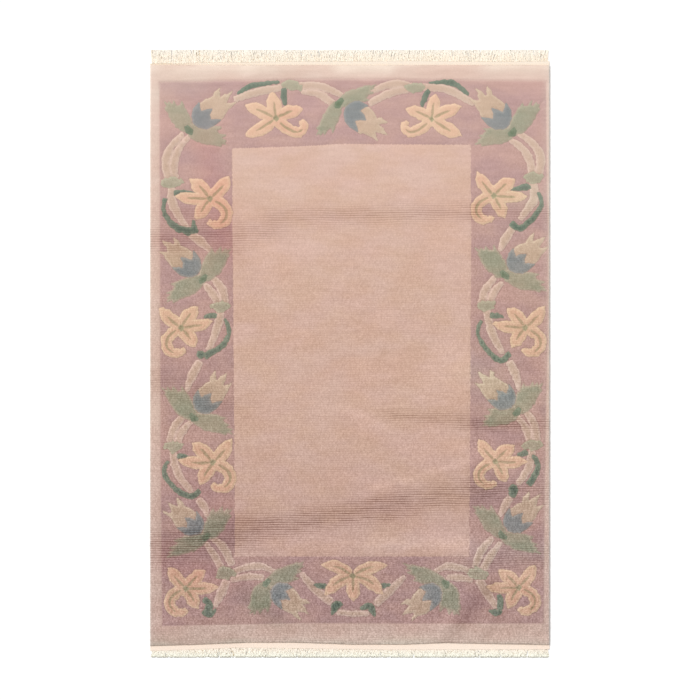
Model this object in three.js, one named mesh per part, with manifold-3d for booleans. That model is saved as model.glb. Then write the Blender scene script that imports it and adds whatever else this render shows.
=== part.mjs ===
// A hand-knotted wool rug of 4 by 6 feet, lying flat: a carved pile with a border of flowers, buds and
// ribbons round a plain field, a flat-woven strip at each end, and the warp ends left as a fringe.
// Millimetres, +Z up. The origin is under the middle of the rug, on the surface it lies on.
import * as THREE from "three";
import { mergeVertices } from "three/addons/utils/BufferGeometryUtils.js";
import Module from "manifold-3d";

const wasm = await Module();
wasm.setup();

// Driving sizes. The pattern is charted in knots, so the knot is the unit of every table below.
const KNOT = 3.05;
const KNOTS_WIDE = 400;
const KNOTS_LONG = 608;
const PILE_HEIGHT = 11;
const SHOULDER = 3;
const RELIEF = 1.8;
const RELIEF_EDGE = 2.4;
const RELIEF_ROOT = 3;
const SINK = 0.4;
const GROOVE_WIDE = 5;
const GROOVE_DEEP = 1.4;
const GAP = 0.3;
const FINEST = 0.2;
const WEB_THICK = 2.6;
const HEADING_THICK = 2.4;
const HEADING_DEEP = 4;
const STRANDS = 100;
const STRAND_WIDE = 6;
const STRAND_TIP_WIDE = 3;
const STRAND_THICK = 2.1;
const STRAND_BEND = 0.55;
const STRAND_DRIFT = 1.7;
const STRAND_SHORT = 5;

const HALF_WIDTH = (KNOTS_WIDE * KNOT) / 2;
const HALF_LENGTH = (KNOTS_LONG * KNOT) / 2;

// The lines that end the pile and the flat-woven strips, from left to right, in knots.
const PILE_END_TOP = [[-200, 289], [200, 289]];
const WEB_END_TOP = [[-200, 293], [200, 293]];
const PILE_END_BOTTOM = [
  [-200, -292.5], [-150, -291], [-100, -289], [-55, -289], [0, -291], [55, -291], [95, -289.5], [200, -291.5],
];
const WEB_END_BOTTOM = [[-200, -297], [-60, -296], [40, -296.5], [200, -296.5]];

// The plain field and the outer edge of the flowered border, in knots.
const FIELD = [
  [-115, -203], [-115.5, -96], [-118, 205.5], [-50, 207.5], [-10, 210], [121, 209], [121.5, 104],
  [119.5, -203],
];
const BORDER = [[-188, -271], [-190.5, 273.5], [195.5, 274], [193.5, -269.5], [-50, -268.5]];

// Flower charts, in knots from the flower's heart. A petal has its tip, half its width and the sideways
// bow of its middle line. A curled petal is a band along its own path.
const FLOWERS = {
  side: {
    petals: [
      { tip: [-18, 20.5], half: 7.6, bow: -1 },
      { tip: [17.5, 21.5], half: 7.2, bow: 0 },
      { tip: [-33, 1], half: 6.5, bow: 0 },
      { tip: [-14, -23], half: 7.4, bow: -1 },
    ],
    curl: { path: [[0, 0], [10, -4], [16, -11], [13, -21], [5, -23.5], [-3, -19]], half: [5, 6.2, 4.2] },
  },
  top: {
    petals: [
      { tip: [-4, 25.5], half: 7, bow: 1 },
      { tip: [26, 13], half: 6.4, bow: 1 },
      { tip: [-29, 13.5], half: 7, bow: -1 },
      { tip: [-30, -17], half: 7, bow: 1 },
    ],
    curl: { path: [[0, -2], [11, -11.5], [20, -12], [25.5, -7], [20, -3.5]], half: [6, 6.2, 3.4] },
  },
  star: {
    petals: [
      { tip: [-31, 10], half: 6, bow: -3.4 },
      { tip: [33, 9], half: 6, bow: 3.4 },
      { tip: [-27, -19], half: 6.4, bow: -3 },
      { tip: [29, -18], half: 6.8, bow: 4 },
      { tip: [0.5, -24.5], half: 7.2, bow: 0 },
    ],
  },
};

// Where each flower sits, in knots from the middle of the rug, which chart it follows and how it is turned.
const FLOWER_PLACES = [
  { chart: "top", at: [-74, 235.5], mirror: 1, turn: 0, size: 1 },
  { chart: "top", at: [82, 235], mirror: -1, turn: 0, size: 0.97 },
  { chart: "side", at: [-140, 155], mirror: 1, turn: -2, size: 1.02 },
  { chart: "side", at: [144, 158], mirror: -1, turn: -4, size: 0.98 },
  { chart: "side", at: [-169, 26], mirror: -1, turn: 8, size: 0.98 },
  { chart: "side", at: [175.5, 26], mirror: 1, turn: -4, size: 0.98 },
  { chart: "side", at: [-137, -109], mirror: 1, turn: 0, size: 1.03 },
  { chart: "side", at: [145.5, -108], mirror: -1, turn: -2, size: 0.95 },
  { chart: "side", at: [-164, -235], mirror: -1, turn: 0, size: 0.96 },
  { chart: "star", at: [3, -222.5], mirror: 1, turn: 0, size: 1 },
  { chart: "side", at: [169, -234], mirror: 1, turn: 2, size: 0.95 },
];

// Chart of a bud that opens along +X from its stem's joint, in knots: the cup and the petals in it.
const BUD_CUP = [
  [8.5, 0], [10.5, 7], [15.5, 12.5], [26, 14], [23.5, 7], [29, 1], [25, -6], [30, -13.5], [18.5, -12.5],
  [11, -7],
];
const BUD_PETALS = [
  [19, 10], [34, 13], [50, 10.5], [46, 5], [57, 0], [47, -5], [51.5, -9.5], [37, -12.5], [19, -11],
];
const BUD_JOINT = [[-3.5, 0], [0, 6], [4, 5.5], [4.5, -4], [0.5, -6]];

// Where each bud's joint sits, which way the bud points and its size, and its two leaves: each leaf's
// tip from the joint and half its width.
const BUD_PLACES = [
  { at: [-162, 223], turn: 41, mirror: 1, size: 1, leaves: [[-17, 29, 9], [40, -10, 8.5]] },
  { at: [-12, 251], turn: -33, mirror: 1, size: 1, leaves: [[39, 17, 8], [-21, -29, 9]] },
  { at: [163, 220], turn: 130, mirror: -1, size: 1, leaves: [[25, 31, 10], [-36, -7, 8.5]] },
  { at: [-146, 74], turn: 137, mirror: -1, size: 0.97, leaves: [[20, 28, 9.5], [-35, -17, 8.5]] },
  { at: [154, 78], turn: 43, mirror: 1, size: 0.95, leaves: [[-25, 28, 9.5], [40, -11, 7.6]] },
  { at: [-157, -65], turn: 53, mirror: 1, size: 0.96, leaves: [[-28, 30, 8.5], [37, -12, 8]] },
  { at: [168, -59], turn: 135, mirror: -1, size: 0.94, leaves: [[23, 27, 9], [-35, -11, 8.5]] },
  { at: [-143, -184], turn: 139, mirror: -1, size: 0.9, leaves: [[20, 28, 9.5], [-37, -15, 8.5]] },
  { at: [152, -183], turn: 47, mirror: 1, size: 0.96, leaves: [[-27, 30, 8.5], [35, -11, 8]] },
  { at: [-84, -229], turn: -37, mirror: 1, size: 0.9, leaves: [[34, 19, 7.2], [-18, -29, 9]] },
  { at: [97, -230], turn: 216, mirror: -1, size: 0.92, leaves: [[-38, 19, 7.2], [8, -28, 9.5]] },
];

// Bands in knots from the middle of the rug: the path of the middle line, and half the width at the
// start, the middle and the end. They are the ribbons, the sheaths they leave and the dark tendrils.
const RIBBONS = [
  { path: [[-168, 219], [-180, 205], [-184, 190], [-181, 176]], half: [2, 3.2, 3] },
  { path: [[-161, 217], [-171, 205], [-176, 190], [-175, 177]], half: [1.5, 3, 2.6] },
  { path: [[-54, 268], [-34, 268], [-22, 265], [-9, 259]], half: [2.6, 3, 1.8] },
  { path: [[-47, 262], [-32, 260], [-22, 254], [-16, 249]], half: [1.6, 3, 2] },
  { path: [[20, 261], [35, 268], [50, 270], [60, 268]], half: [1.6, 3, 2.4] },
  { path: [[21, 251], [34, 258], [48, 263], [60, 264]], half: [2.2, 3, 2] },
  { path: [[171, 220], [184, 209], [191, 196], [189, 180]], half: [2, 3.2, 3] },
  { path: [[162, 213], [174, 204], [181, 190], [182, 178]], half: [2, 3, 2.6] },
  { path: [[-137, 76], [-128, 64], [-125, 51]], half: [2, 3.4, 2.6] },
  { path: [[-144, 68], [-137, 60], [-131, 50]], half: [2, 3, 2.4] },
  { path: [[144, 75], [136, 64], [132, 52]], half: [2, 3.2, 2.6] },
  { path: [[151, 70], [144, 61], [140, 51]], half: [1.6, 3, 2.4] },
  { path: [[-166, -62], [-175, -73], [-180, -87]], half: [2, 3.2, 2.6] },
  { path: [[-159, -69], [-168, -78], [-172, -89]], half: [1.6, 3, 2.4] },
  { path: [[176, -58], [184, -70], [187, -86]], half: [2, 3.2, 2.6] },
  { path: [[168, -64], [176, -75], [180, -88]], half: [1.6, 3, 2.4] },
  { path: [[-137, -185], [-126, -195], [-119, -210]], half: [2, 3.2, 2.6] },
  { path: [[-143, -191], [-135, -203], [-128, -215]], half: [1.6, 3, 2.6] },
  { path: [[142, -185], [131, -198], [126, -213]], half: [2, 3.2, 2.6] },
  { path: [[150, -190], [141, -202], [134, -215]], half: [1.6, 3, 2.6] },
  { path: [[-117, -219], [-104, -214], [-88, -213], [-76, -218]], half: [2, 3, 1.6] },
  { path: [[-117, -226], [-102, -223], [-88, -224]], half: [2, 2.8, 2] },
  { path: [[122, -218], [108, -214], [96, -213], [86, -218]], half: [2, 3, 1.6] },
  { path: [[121, -226], [109, -224], [99, -224]], half: [2, 2.8, 2] },
  { path: [[-178, 165], [-178, 153], [-173, 141], [-164, 127]], half: [2.8, 3.4, 2] },
  { path: [[-158, 119], [-149, 112], [-139, 103]], half: [2.6, 3.6, 1.2] },
  { path: [[-130, 42], [-132, 28], [-141, 5]], half: [2.6, 3.2, 2] },
  { path: [[-151, -9], [-158, -22], [-163, -36]], half: [2.6, 3.4, 1.2] },
  { path: [[-177, -99], [-172, -120], [-159, -137]], half: [2.6, 3.2, 2] },
  { path: [[-151, -147], [-146, -153], [-143, -162]], half: [2.6, 3.2, 1.2] },
  { path: [[183, 171], [184, 154], [171, 136]], half: [2.8, 3.4, 2] },
  { path: [[162, 124], [155, 114], [151, 104]], half: [2.6, 3.4, 1.2] },
  { path: [[137, 42], [142, 22], [152, 2]], half: [2.6, 3.2, 2] },
  { path: [[160, -9], [166, -21], [169, -35]], half: [2.6, 3.4, 1.2] },
  { path: [[182, -98], [179, -114], [169, -129]], half: [2.6, 3.2, 2] },
  { path: [[160, -145], [155, -152], [151, -161]], half: [2.6, 3.2, 1.2] },
  { path: [[-114, 255], [-92, 262], [-70, 266]], half: [2.2, 3, 2.4] },
  { path: [[72, 267], [98, 264], [123, 251]], half: [2.4, 3, 2.2] },
  { path: [[-124, -228], [-129, -240], [-134, -251]], half: [3, 3.4, 1.6] },
  { path: [[130, -228], [138, -241], [146, -253]], half: [3, 3.4, 1.6] },
  { path: [[-48, -221], [-34, -236], [-20, -248]], half: [1.6, 3.4, 3] },
  { path: [[54, -224], [40, -237], [27, -250]], half: [1.6, 3.4, 2.6] },
  { path: [[-11, -259], [3, -260], [17, -260]], half: [2, 2.2, 1.6] },
];
const SHEATHS = [
  { path: [[-189, 172], [-179, 171], [-167, 173]], half: [1.5, 5.5, 1.5] },
  { path: [[-69, 268], [-58, 269], [-47, 265]], half: [2.6, 4.4, 1.5] },
  { path: [[55, 267], [66, 266], [76, 268]], half: [1.5, 5.2, 2] },
  { path: [[173, 176], [183, 176], [193, 177]], half: [1.5, 5.5, 1.5] },
  { path: [[-139, 48], [-130, 47], [-120, 49]], half: [1.5, 5.4, 1.5] },
  { path: [[127, 49], [136, 48], [146, 50]], half: [1.5, 5.4, 1.5] },
  { path: [[-187, -92], [-177, -93], [-166, -91]], half: [1.5, 5.4, 1.5] },
  { path: [[172, -92], [182, -92], [192, -90]], half: [1.5, 5.4, 1.5] },
  { path: [[-134, -223], [-124, -220], [-114, -219]], half: [2, 6, 2] },
  { path: [[117, -219], [127, -220], [138, -223]], half: [2, 6, 2] },
];
const TENDRILS = [
  { path: [[-113, 260], [-98, 268], [-70, 272]], half: [1.2, 3, 1.6] },
  { path: [[79, 271], [102, 271], [119, 259]], half: [1, 3.2, 1.6] },
  { path: [[-185, 156], [-186, 142], [-176, 128], [-158, 121]], half: [2, 2.6, 4.4] },
  { path: [[-157, 134], [-156, 127], [-155, 120]], half: [0.8, 3, 5] },
  { path: [[-125, 35], [-121, 22], [-128, 8], [-146, -3]], half: [1.4, 2.6, 3.6] },
  { path: [[-153, 1], [-149, -1], [-146, -4]], half: [3, 4.2, 4] },
  { path: [[-182, -107], [-186, -119], [-176, -134], [-160, -143], [-150, -137]], half: [1.6, 2.8, 3] },
  { path: [[188, 162], [192, 151], [186, 139], [171, 126], [161, 131]], half: [1.6, 2.8, 3.4] },
  { path: [[132, 33], [128, 21], [136, 5], [151, -7], [160, 1]], half: [1.6, 2.6, 3] },
  { path: [[183, -101], [188, -112], [184, -124], [178, -131]], half: [1.8, 3.2, 3.4] },
  { path: [[160, -133], [164, -137], [161, -143]], half: [3.8, 5, 3.4] },
  { path: [[-147, -245], [-141, -250], [-142, -257], [-147, -261]], half: [2.4, 3.8, 3] },
  { path: [[-147, -259], [-140, -261], [-134, -256]], half: [2, 3.4, 1.4] },
  { path: [[149, -241], [151, -249], [150, -256]], half: [3, 3, 3.4] },
  { path: [[152, -257], [146, -259], [139, -257]], half: [2.6, 3.4, 1.6] },
  { path: [[-7, -250], [-14, -252], [-18, -262]], half: [2, 4.6, 1.4] },
  { path: [[10, -255], [20, -253], [25, -263]], half: [1.2, 4.2, 1.4] },
  { path: [[-66, 266], [-66, 257], [-65, 248]], half: [2.8, 3.2, 1.6] },
  { path: [[79, 264], [75, 256], [72, 247]], half: [2.8, 3.2, 1.6] },
  { path: [[-177, 161], [-165, 161], [-152, 160]], half: [3, 2.8, 0.8] },
  { path: [[181, 167], [171, 166], [161, 164]], half: [3, 3, 0.9] },
  { path: [[-133, 38], [-140, 38], [-147, 36]], half: [3, 3, 1] },
  { path: [[140, 38], [147, 38], [154, 36]], half: [3, 3, 1] },
  { path: [[-173, -103], [-166, -103], [-159, -105]], half: [3, 3, 1] },
  { path: [[178, -99], [173, -100], [167, -102]], half: [3, 3, 1] },
  { path: [[-36, -231], [-30, -232], [-23, -233]], half: [1, 2.8, 2.4] },
  { path: [[41, -231], [35, -232], [29, -233]], half: [1, 2.8, 2.4] },
];

// Half the width of a petal or leaf along its length, as a share of its widest.
const PETAL_PROFILE = [[0, 0.6], [0.42, 1], [0.8, 0.76]];

// Moves a chart point: mirrored about its own Y, turned by degrees, sized, then set down, all in knots.
function place([x, y], { at, turn = 0, mirror = 1, size = 1 }) {
  const point = new THREE.Vector2(x * mirror, y).multiplyScalar(size);
  point.rotateAround(new THREE.Vector2(0, 0), THREE.MathUtils.degToRad(turn));
  return [point.x + at[0], point.y + at[1]];
}

// Outline of a pointed petal or leaf that grows from the chart's origin.
function petalOutline({ tip, half, bow }) {
  const length = Math.hypot(tip[0], tip[1]);
  const along = [tip[0] / length, tip[1] / length];
  const left = [-along[1], along[0]];
  const side = (way) => PETAL_PROFILE.map(([share, wide]) => {
    const aside = bow * Math.sin(Math.PI * share) + way * half * wide;
    return [along[0] * length * share + left[0] * aside, along[1] * length * share + left[1] * aside];
  });
  return [...side(-1), tip, ...side(1).reverse()];
}

// Outline of a band of changing width along a smooth path.
function bandOutline({ path, half }) {
  const curve = new THREE.SplineCurve(path.map(([x, y]) => new THREE.Vector2(x, y)));
  const steps = path.length;
  const sides = { left: [], right: [] };
  for (let i = 0; i <= steps; i += 1) {
    const share = i / steps;
    const middle = curve.getPoint(share);
    const along = curve.getTangent(share);
    const [from, to] = share < 0.5 ? [half[0], half[1]] : [half[1], half[2]];
    const wide = THREE.MathUtils.lerp(from, to, share < 0.5 ? share * 2 : share * 2 - 1);
    sides.left.push([middle.x - along.y * wide, middle.y + along.x * wide]);
    sides.right.push([middle.x + along.y * wide, middle.y - along.x * wide]);
  }
  return [...sides.right, ...sides.left.reverse()];
}

// A shape in millimetres from an outline in knots.
function inMillimetres(outline) {
  return new THREE.Shape(outline.map(([x, y]) => new THREE.Vector2(x * KNOT, y * KNOT)));
}

// An outline extruded from low to high, its top edge sloping in from the shoulder over the given inset.
function block(shape, low, shoulder, high, inset) {
  const geometry = new THREE.ExtrudeGeometry(shape, {
    depth: shoulder - low,
    bevelThickness: high - shoulder,
    bevelSize: inset,
    bevelOffset: -inset,
    bevelSegments: 1,
  });
  const position = geometry.attributes.position;
  for (let i = 0; i < position.count; i += 1) {
    position.setZ(i, Math.max(position.getZ(i), 0) + low);
  }
  return geometry;
}

function solidOf(geometry) {
  const bare = geometry.clone();
  bare.deleteAttribute("normal");
  bare.deleteAttribute("uv");
  const welded = mergeVertices(bare, 1e-4);
  return new wasm.Manifold(new wasm.Mesh({
    numProp: 3,
    vertProperties: new Float32Array(welded.attributes.position.array),
    triVerts: new Uint32Array(welded.index.array),
  }));
}

function geometryOf(solid) {
  const mesh = solid.getMesh();
  const geometry = new THREE.BufferGeometry();
  geometry.setAttribute("position", new THREE.BufferAttribute(mesh.vertProperties, 3));
  geometry.setIndex(new THREE.BufferAttribute(mesh.triVerts, 1));
  geometry.computeVertexNormals();
  return geometry;
}

// Every outline that stands proud of the ground pile, in knots.
function carvedOutlines() {
  const outlines = [...RIBBONS, ...SHEATHS, ...TENDRILS].map(bandOutline);
  for (const spot of FLOWER_PLACES) {
    const { petals, curl } = FLOWERS[spot.chart];
    const charts = petals.map(petalOutline);
    if (curl) {
      charts.push(bandOutline(curl));
    }
    outlines.push(...charts.map((chart) => chart.map((point) => place(point, spot))));
  }
  for (const spot of BUD_PLACES) {
    const { at, turn, size } = spot;
    for (const chart of [BUD_CUP, BUD_PETALS, BUD_JOINT]) {
      outlines.push(chart.map(([x, y]) => place([x, y * spot.mirror], { at, turn, size })));
    }
    for (const [x, y, half] of spot.leaves) {
      outlines.push(petalOutline({ tip: [x, y], half, bow: 0 }).map((point) => place(point, { at })));
    }
  }
  return outlines;
}

// A raised motif, rooted in the pile and bevelled to its top.
function raised(outline) {
  const low = PILE_HEIGHT - RELIEF_ROOT;
  return solidOf(block(inMillimetres(outline), low, PILE_HEIGHT - SINK, PILE_HEIGHT + RELIEF, RELIEF_EDGE));
}

// V-shaped cuts along the sides of an outline in knots.
function groovesAlong(outline) {
  const half = GROOVE_WIDE / 2;
  const section = new THREE.Shape([
    new THREE.Vector2(0, -GROOVE_DEEP), new THREE.Vector2(half, SINK), new THREE.Vector2(-half, SINK),
  ]);
  return outline.map((start, i) => {
    const end = outline[(i + 1) % outline.length];
    const run = new THREE.Vector2((end[0] - start[0]) * KNOT, (end[1] - start[1]) * KNOT);
    const geometry = new THREE.ExtrudeGeometry(section, { depth: run.length(), bevelEnabled: false });
    geometry.rotateX(Math.PI / 2);
    geometry.rotateZ(run.angle() + Math.PI / 2);
    geometry.translate(start[0] * KNOT, start[1] * KNOT, PILE_HEIGHT);
    return solidOf(geometry);
  });
}

function buildPile() {
  const outline = [...PILE_END_BOTTOM, ...[...PILE_END_TOP].reverse()];
  const ground = solidOf(block(inMillimetres(outline), 0, PILE_HEIGHT - SHOULDER, PILE_HEIGHT, SHOULDER));
  const cut = ground.subtract(wasm.Manifold.union([...groovesAlong(FIELD), ...groovesAlong(BORDER)]));
  const carved = wasm.Manifold.union([cut, ...carvedOutlines().map(raised)]);
  return geometryOf(carved.simplify(FINEST));
}

// A flat-woven strip between two lines in knots, with its gap to the pile. Way is 1 at the top, -1 below.
function buildWeb(pileLine, webLine, way) {
  const inner = pileLine.map(([x, y]) => new THREE.Vector2(x * KNOT, y * KNOT + way * GAP));
  const outer = webLine.map(([x, y]) => new THREE.Vector2(x * KNOT, y * KNOT));
  const shape = new THREE.Shape([...inner, ...outer.reverse()]);
  return new THREE.ExtrudeGeometry(shape, { depth: WEB_THICK, bevelEnabled: false });
}

// A repeatable spread of numbers from 0 to 1, so that each strand differs from the next.
function spread(index, salt) {
  const wave = Math.sin(index * 12.9898 + salt * 78.233) * 43758.5453;
  return wave - Math.floor(wave);
}

// Height of a line given in knots at a place given in millimetres.
function lineAt(line, x) {
  const knots = x / KNOT;
  const next = Math.max(1, line.findIndex(([from]) => from >= knots));
  const [[x0, y0], [x1, y1]] = [line[next - 1], line[next]];
  return THREE.MathUtils.mapLinear(knots, x0, x1, y0, y1) * KNOT;
}

// One strand of the fringe, flat on the floor, from its root inside the heading to its tip. The strand
// a third of the way along has its full length, so that the rug's length is the charted one.
function strand(index, x, root, way) {
  const full = index === Math.round(STRANDS / 3);
  const tip = way * (HALF_LENGTH - (full ? 0 : STRAND_SHORT * spread(index, 3)));
  const bend = THREE.MathUtils.lerp(root, tip, STRAND_BEND);
  const stations = [
    { x, y: root, wide: STRAND_WIDE },
    { x: x + STRAND_DRIFT * (spread(index, 1) - 0.5), y: bend, wide: STRAND_WIDE },
    { x: x + 2 * STRAND_DRIFT * (spread(index, 2) - 0.5), y: tip, wide: STRAND_TIP_WIDE },
  ];
  const right = stations.map((s) => new THREE.Vector2(s.x + s.wide / 2, s.y));
  const left = stations.map((s) => new THREE.Vector2(s.x - s.wide / 2, s.y)).reverse();
  const shape = new THREE.Shape([...right, ...left]);
  return solidOf(new THREE.ExtrudeGeometry(shape, { depth: STRAND_THICK, bevelEnabled: false }));
}

// The warp ends of one side: a narrow heading beside the flat-woven strip, and the strands rooted in it.
function buildFringe(webLine, way) {
  const near = webLine.map(([x, y]) => new THREE.Vector2(x * KNOT, y * KNOT + way * GAP));
  const far = webLine.map(([x, y]) => new THREE.Vector2(x * KNOT, y * KNOT + way * (GAP + HEADING_DEEP)));
  const shape = new THREE.Shape([...near, ...far.reverse()]);
  const heading = solidOf(new THREE.ExtrudeGeometry(shape, { depth: HEADING_THICK, bevelEnabled: false }));
  const strands = Array.from({ length: STRANDS }, (_, index) => {
    const x = HALF_WIDTH * ((2 * index + 1) / STRANDS - 1);
    return strand(index, x, lineAt(webLine, x) + way * (GAP + HEADING_DEEP / 2), way);
  });
  return geometryOf(wasm.Manifold.union([heading, ...strands]));
}

const wool = new THREE.MeshStandardMaterial({ color: "#c4a393", roughness: 0.95, metalness: 0 });
const weave = new THREE.MeshStandardMaterial({ color: "#efdfcc", roughness: 0.9, metalness: 0 });
const warp = new THREE.MeshStandardMaterial({ color: "#f1e6d3", roughness: 0.9, metalness: 0 });

const rug = new THREE.Group();

function addPiece(name, geometry, material) {
  const piece = new THREE.Mesh(geometry, material);
  piece.name = name;
  rug.add(piece);
}

addPiece("pile_carpet", buildPile(), wool);
addPiece("kilim_end_top", buildWeb(PILE_END_TOP, WEB_END_TOP, 1), weave);
addPiece("kilim_end_bottom", buildWeb(PILE_END_BOTTOM, WEB_END_BOTTOM, -1), weave);
addPiece("fringe_top", buildFringe(WEB_END_TOP, 1), warp);
addPiece("fringe_bottom", buildFringe(WEB_END_BOTTOM, -1), warp);

export default rug;
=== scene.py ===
import math

import bpy
import numpy as np
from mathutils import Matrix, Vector
from mathutils.geometry import delaunay_2d_cdt


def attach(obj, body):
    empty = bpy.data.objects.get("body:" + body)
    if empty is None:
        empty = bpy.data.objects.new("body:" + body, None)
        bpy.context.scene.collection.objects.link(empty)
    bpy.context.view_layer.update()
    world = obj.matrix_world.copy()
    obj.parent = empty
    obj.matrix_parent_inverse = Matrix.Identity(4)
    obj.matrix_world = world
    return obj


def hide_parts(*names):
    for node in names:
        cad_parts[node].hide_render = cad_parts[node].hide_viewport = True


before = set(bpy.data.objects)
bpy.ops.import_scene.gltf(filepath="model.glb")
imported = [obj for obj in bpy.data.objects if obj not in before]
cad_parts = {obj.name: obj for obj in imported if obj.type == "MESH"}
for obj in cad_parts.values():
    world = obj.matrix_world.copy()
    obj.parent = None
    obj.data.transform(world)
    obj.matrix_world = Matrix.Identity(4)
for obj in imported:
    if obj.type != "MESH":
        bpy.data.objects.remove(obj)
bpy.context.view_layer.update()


def table(columns, rows):
    """The rows of a table as dictionaries, by the names of its columns."""
    return [dict(zip(columns.split(), row)) for row in rows]


# What the random draws start from: how the knotter's hand strays, how long the rows stay open, how the rim
# strays, and the two layers of the fringe.
SEEDS = {"hand": 19, "rows": 5, "rim": 7, "under": 11, "over": 31}

# Sizes in millimetres, as in the solids. The pattern is charted in knots from the middle of the rug.
MM = 0.001
KNOT = 3.05
HALF_WIDTH = 200 * KNOT
HALF_LENGTH = 304 * KNOT
PILE_HEIGHT = 11
RELIEF = 1.8
ROW_PITCH = 7.05
ROW_TILT = -0.006
COLUMN_PITCH = 3.5
# How far the rows of knots wander, and the lengths of those waves across and along the rug.
WANDER = table("far across along shift", [
    (0.9, 190, math.inf, 0.7), (0.5, 71, math.inf, 2.1), (0.7, 43, 31, 0), (0.45, 23, -19, 0),
])

# The woven ends, and the gap from them to the pile and to the fringe.
WEB_THICK = 2.6
WARP_PITCH = 3.05
WEFT_PITCH = 2
CRIMP = 0.45
GAP = 0.3

# The fringe: two layers of strands, pressed down to a share of their height, and a cord at their roots, with
# its turns and the steps that each is made in.
STRAND_RADIUS = 1.45
STRAND_TURNS = 1.1
STRANDS_UNDER = 560
STRANDS_OVER = 500
FLATTENED = 0.33
CORD_RADIUS = 0.85
CORD_TURNS = 190
CORD_STEPS = 6
# Past this far from the middle the strands are drawn in to a share, so that the fringe ends square.
SQUARED_AT = 604
DRAWN_IN = 0.25
# How far a strand may stand past the line where the fringe is cut.
LONGEST_STRAND = 1.1
# How far short of that line the tone of the strands' tips begins and is whole, and the same for the painted
# shadow along the cut.
TIP_FROM, TIP_TO = 22, 4
CUT_SHADOW_FROM, CUT_SHADOW_TO = 2.2, 1.2
# The least and the most that the strands' roots stray across, along and up the rug, in metres.
ROOT_STRAY = ((-0.0008, 0, 0), (0.0008, 0.0008, 0.0004))

# The photograph's frame on the floor, in metres, and where its middle falls on the rug.
FRAME_WIDE = 2.1365
FRAME_MIDDLE = (0.00046, 0.01129)
CAMERA_HEIGHT = 8

# How far from an outline, and from the rug's own edge, a place still knows its distance to it.
REACH = 12
EDGE_REACH = 90
# Height over the ground pile at depths inside a motif: foot, carved line, shoulder, and crown.
CARVING = np.array([(-3.2, 0), (-0.8, -1.0), (2.2, RELIEF - 0.25), (4.5, RELIEF), (REACH, RELIEF + 0.15)])
# The lines clipped round a motif, and round the field and the border: the depth inside the outline at which
# the line's middle lies, half its width, and how deep it is.
MOTIF_CUT = {"middle": -0.8, "half": 2.4, "deep": 1.3}
EDGE_CUT = {"middle": 0, "half": 2.6, "deep": 0.9}
# How deep the inlaid yarns lie, with half the width of the slope into them, and how deep a wide open seam is.
INLAID_DEPTH = 0.9
INLAID_SLOPE = 1.2
# Where a motif lies over another, the line round it fades in with the depth that the other has over its own:
# over how many millimetres, and from which share of them on.
OVERLAP_RAMP = 2
OVERLAP_START = 0.4
# The rug's own rise and fall, in waves across it and then along it: how high and how long they are, and how
# far and in waves of what length they bend.
SWELLS = table("high long bend bend_long", [(0.22, 83, 1.3, 131), (0.18, 57, 1, 97)])
SEAM_DEPTH = 1.5
# How far the pile drops at its two ends, and how far in that starts.
END_DROP = 2.4
END_DROP_WIDE = 16

# The mesh: steps along the carved lines, the edges of field and border, the rim and the columns of the face,
# then of the back, and the least distance between two points of the face and of the back.
LINE_STEP = 4.4
EDGE_STEP = 5.5
RIM_STEP = 6
COLUMN_STEP = 12.9
BACK_LINE_STEP = 9
BACK_EDGE_STEP = 12
BACK_STEP = 17
NEAREST = 1.9
NEAREST_BACK = 4.5
# How far the other points of the face and of the back stay inside the rim's own.
RIM_CLEAR = 1.6
RIM_CLEAR_BACK = 3
# The rim from the top to the floor: how far in from the rug's outline, and how high. It strays a little.
RIM = [(4.4, PILE_HEIGHT - 0.2), (2.4, 10.3), (0.9, 8.9), (0.1, 6.8), (0.2, 3.4), (1.2, 0.7), (3, 0)]
RIM_STRAY = 0.28
# How much lower the rim is at the two ends of the pile, and how far in that goes.
END_RIM_DROP = 2
END_RIM_WIDE = 6
# How much of a dip in the pile shows in the rim.
RIM_DIP = 0.5

# The ends of the pile, the woven ends and the fringe, and the edges of field and border, in knots.
PILE_END_TOP = [(-200, 289), (200, 289)]
WEB_END_TOP = [
    (-200, 290.6), (-172, 290.4), (-152, 291.6), (-95, 291.8), (-60, 292.8), (-20, 292.6), (60, 293.2),
    (150, 292.4), (200, 293),
]
PILE_END_BOTTOM = [
    (-200, -292.5), (-150, -291), (-100, -289), (-55, -289), (0, -291), (55, -291), (95, -289.5),
    (200, -291.5),
]
WEB_END_BOTTOM = [(-200, -297.6), (-150, -296), (-115, -294.4), (-60, -295), (40, -296.5), (200, -296)]
CUT_END = [(-200, 304), (200, 304)]
FIELD = [
    (-115, -203), (-115.5, -96), (-118, 205.5), (-50, 207.5), (-10, 210), (121, 209), (121.5, 104),
    (119.5, -203),
]
BORDER = [
    (-188, -272.5), (-189.5, -106), (-190.5, 272), (-60, 274.3), (-20, 275), (100, 274), (196.4, 273.2),
    (197.2, 167), (198.2, 122), (198.2, 39), (195.6, -106), (194.5, -194), (194.2, -270), (60, -270),
    (-50, -269.6),
]

# The charts of a bud that grows to the right, from its stem's end.
BUD_CUP = [
    (8.5, 0), (9.4, 5), (12.5, 10), (18, 13.6), (29, 15), (25.4, 11), (23, 6), (28, 4.4), (33.5, 0.6),
    (28, -2), (24.6, -6), (28.5, -8.6), (33.5, -13.8), (22, -13.6), (15, -11), (10.5, -6),
]
BUD_PETALS = [
    (19, 10), (28, 13.4), (36, 12), (42, 9.4), (46, 11.8), (54, 11.4), (50, 7.6), (46.5, 4.6), (53, 3.4),
    (61, 0.4), (53, -1.8), (47, -4.6), (50.5, -7), (56, -10.4), (46, -10.6), (37, -12.8), (27, -13),
    (19, -11),
]
BUD_JOINT = [(-3.5, 0), (0, 6), (4, 5.5), (4.5, -4), (0.5, -6)]
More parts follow.
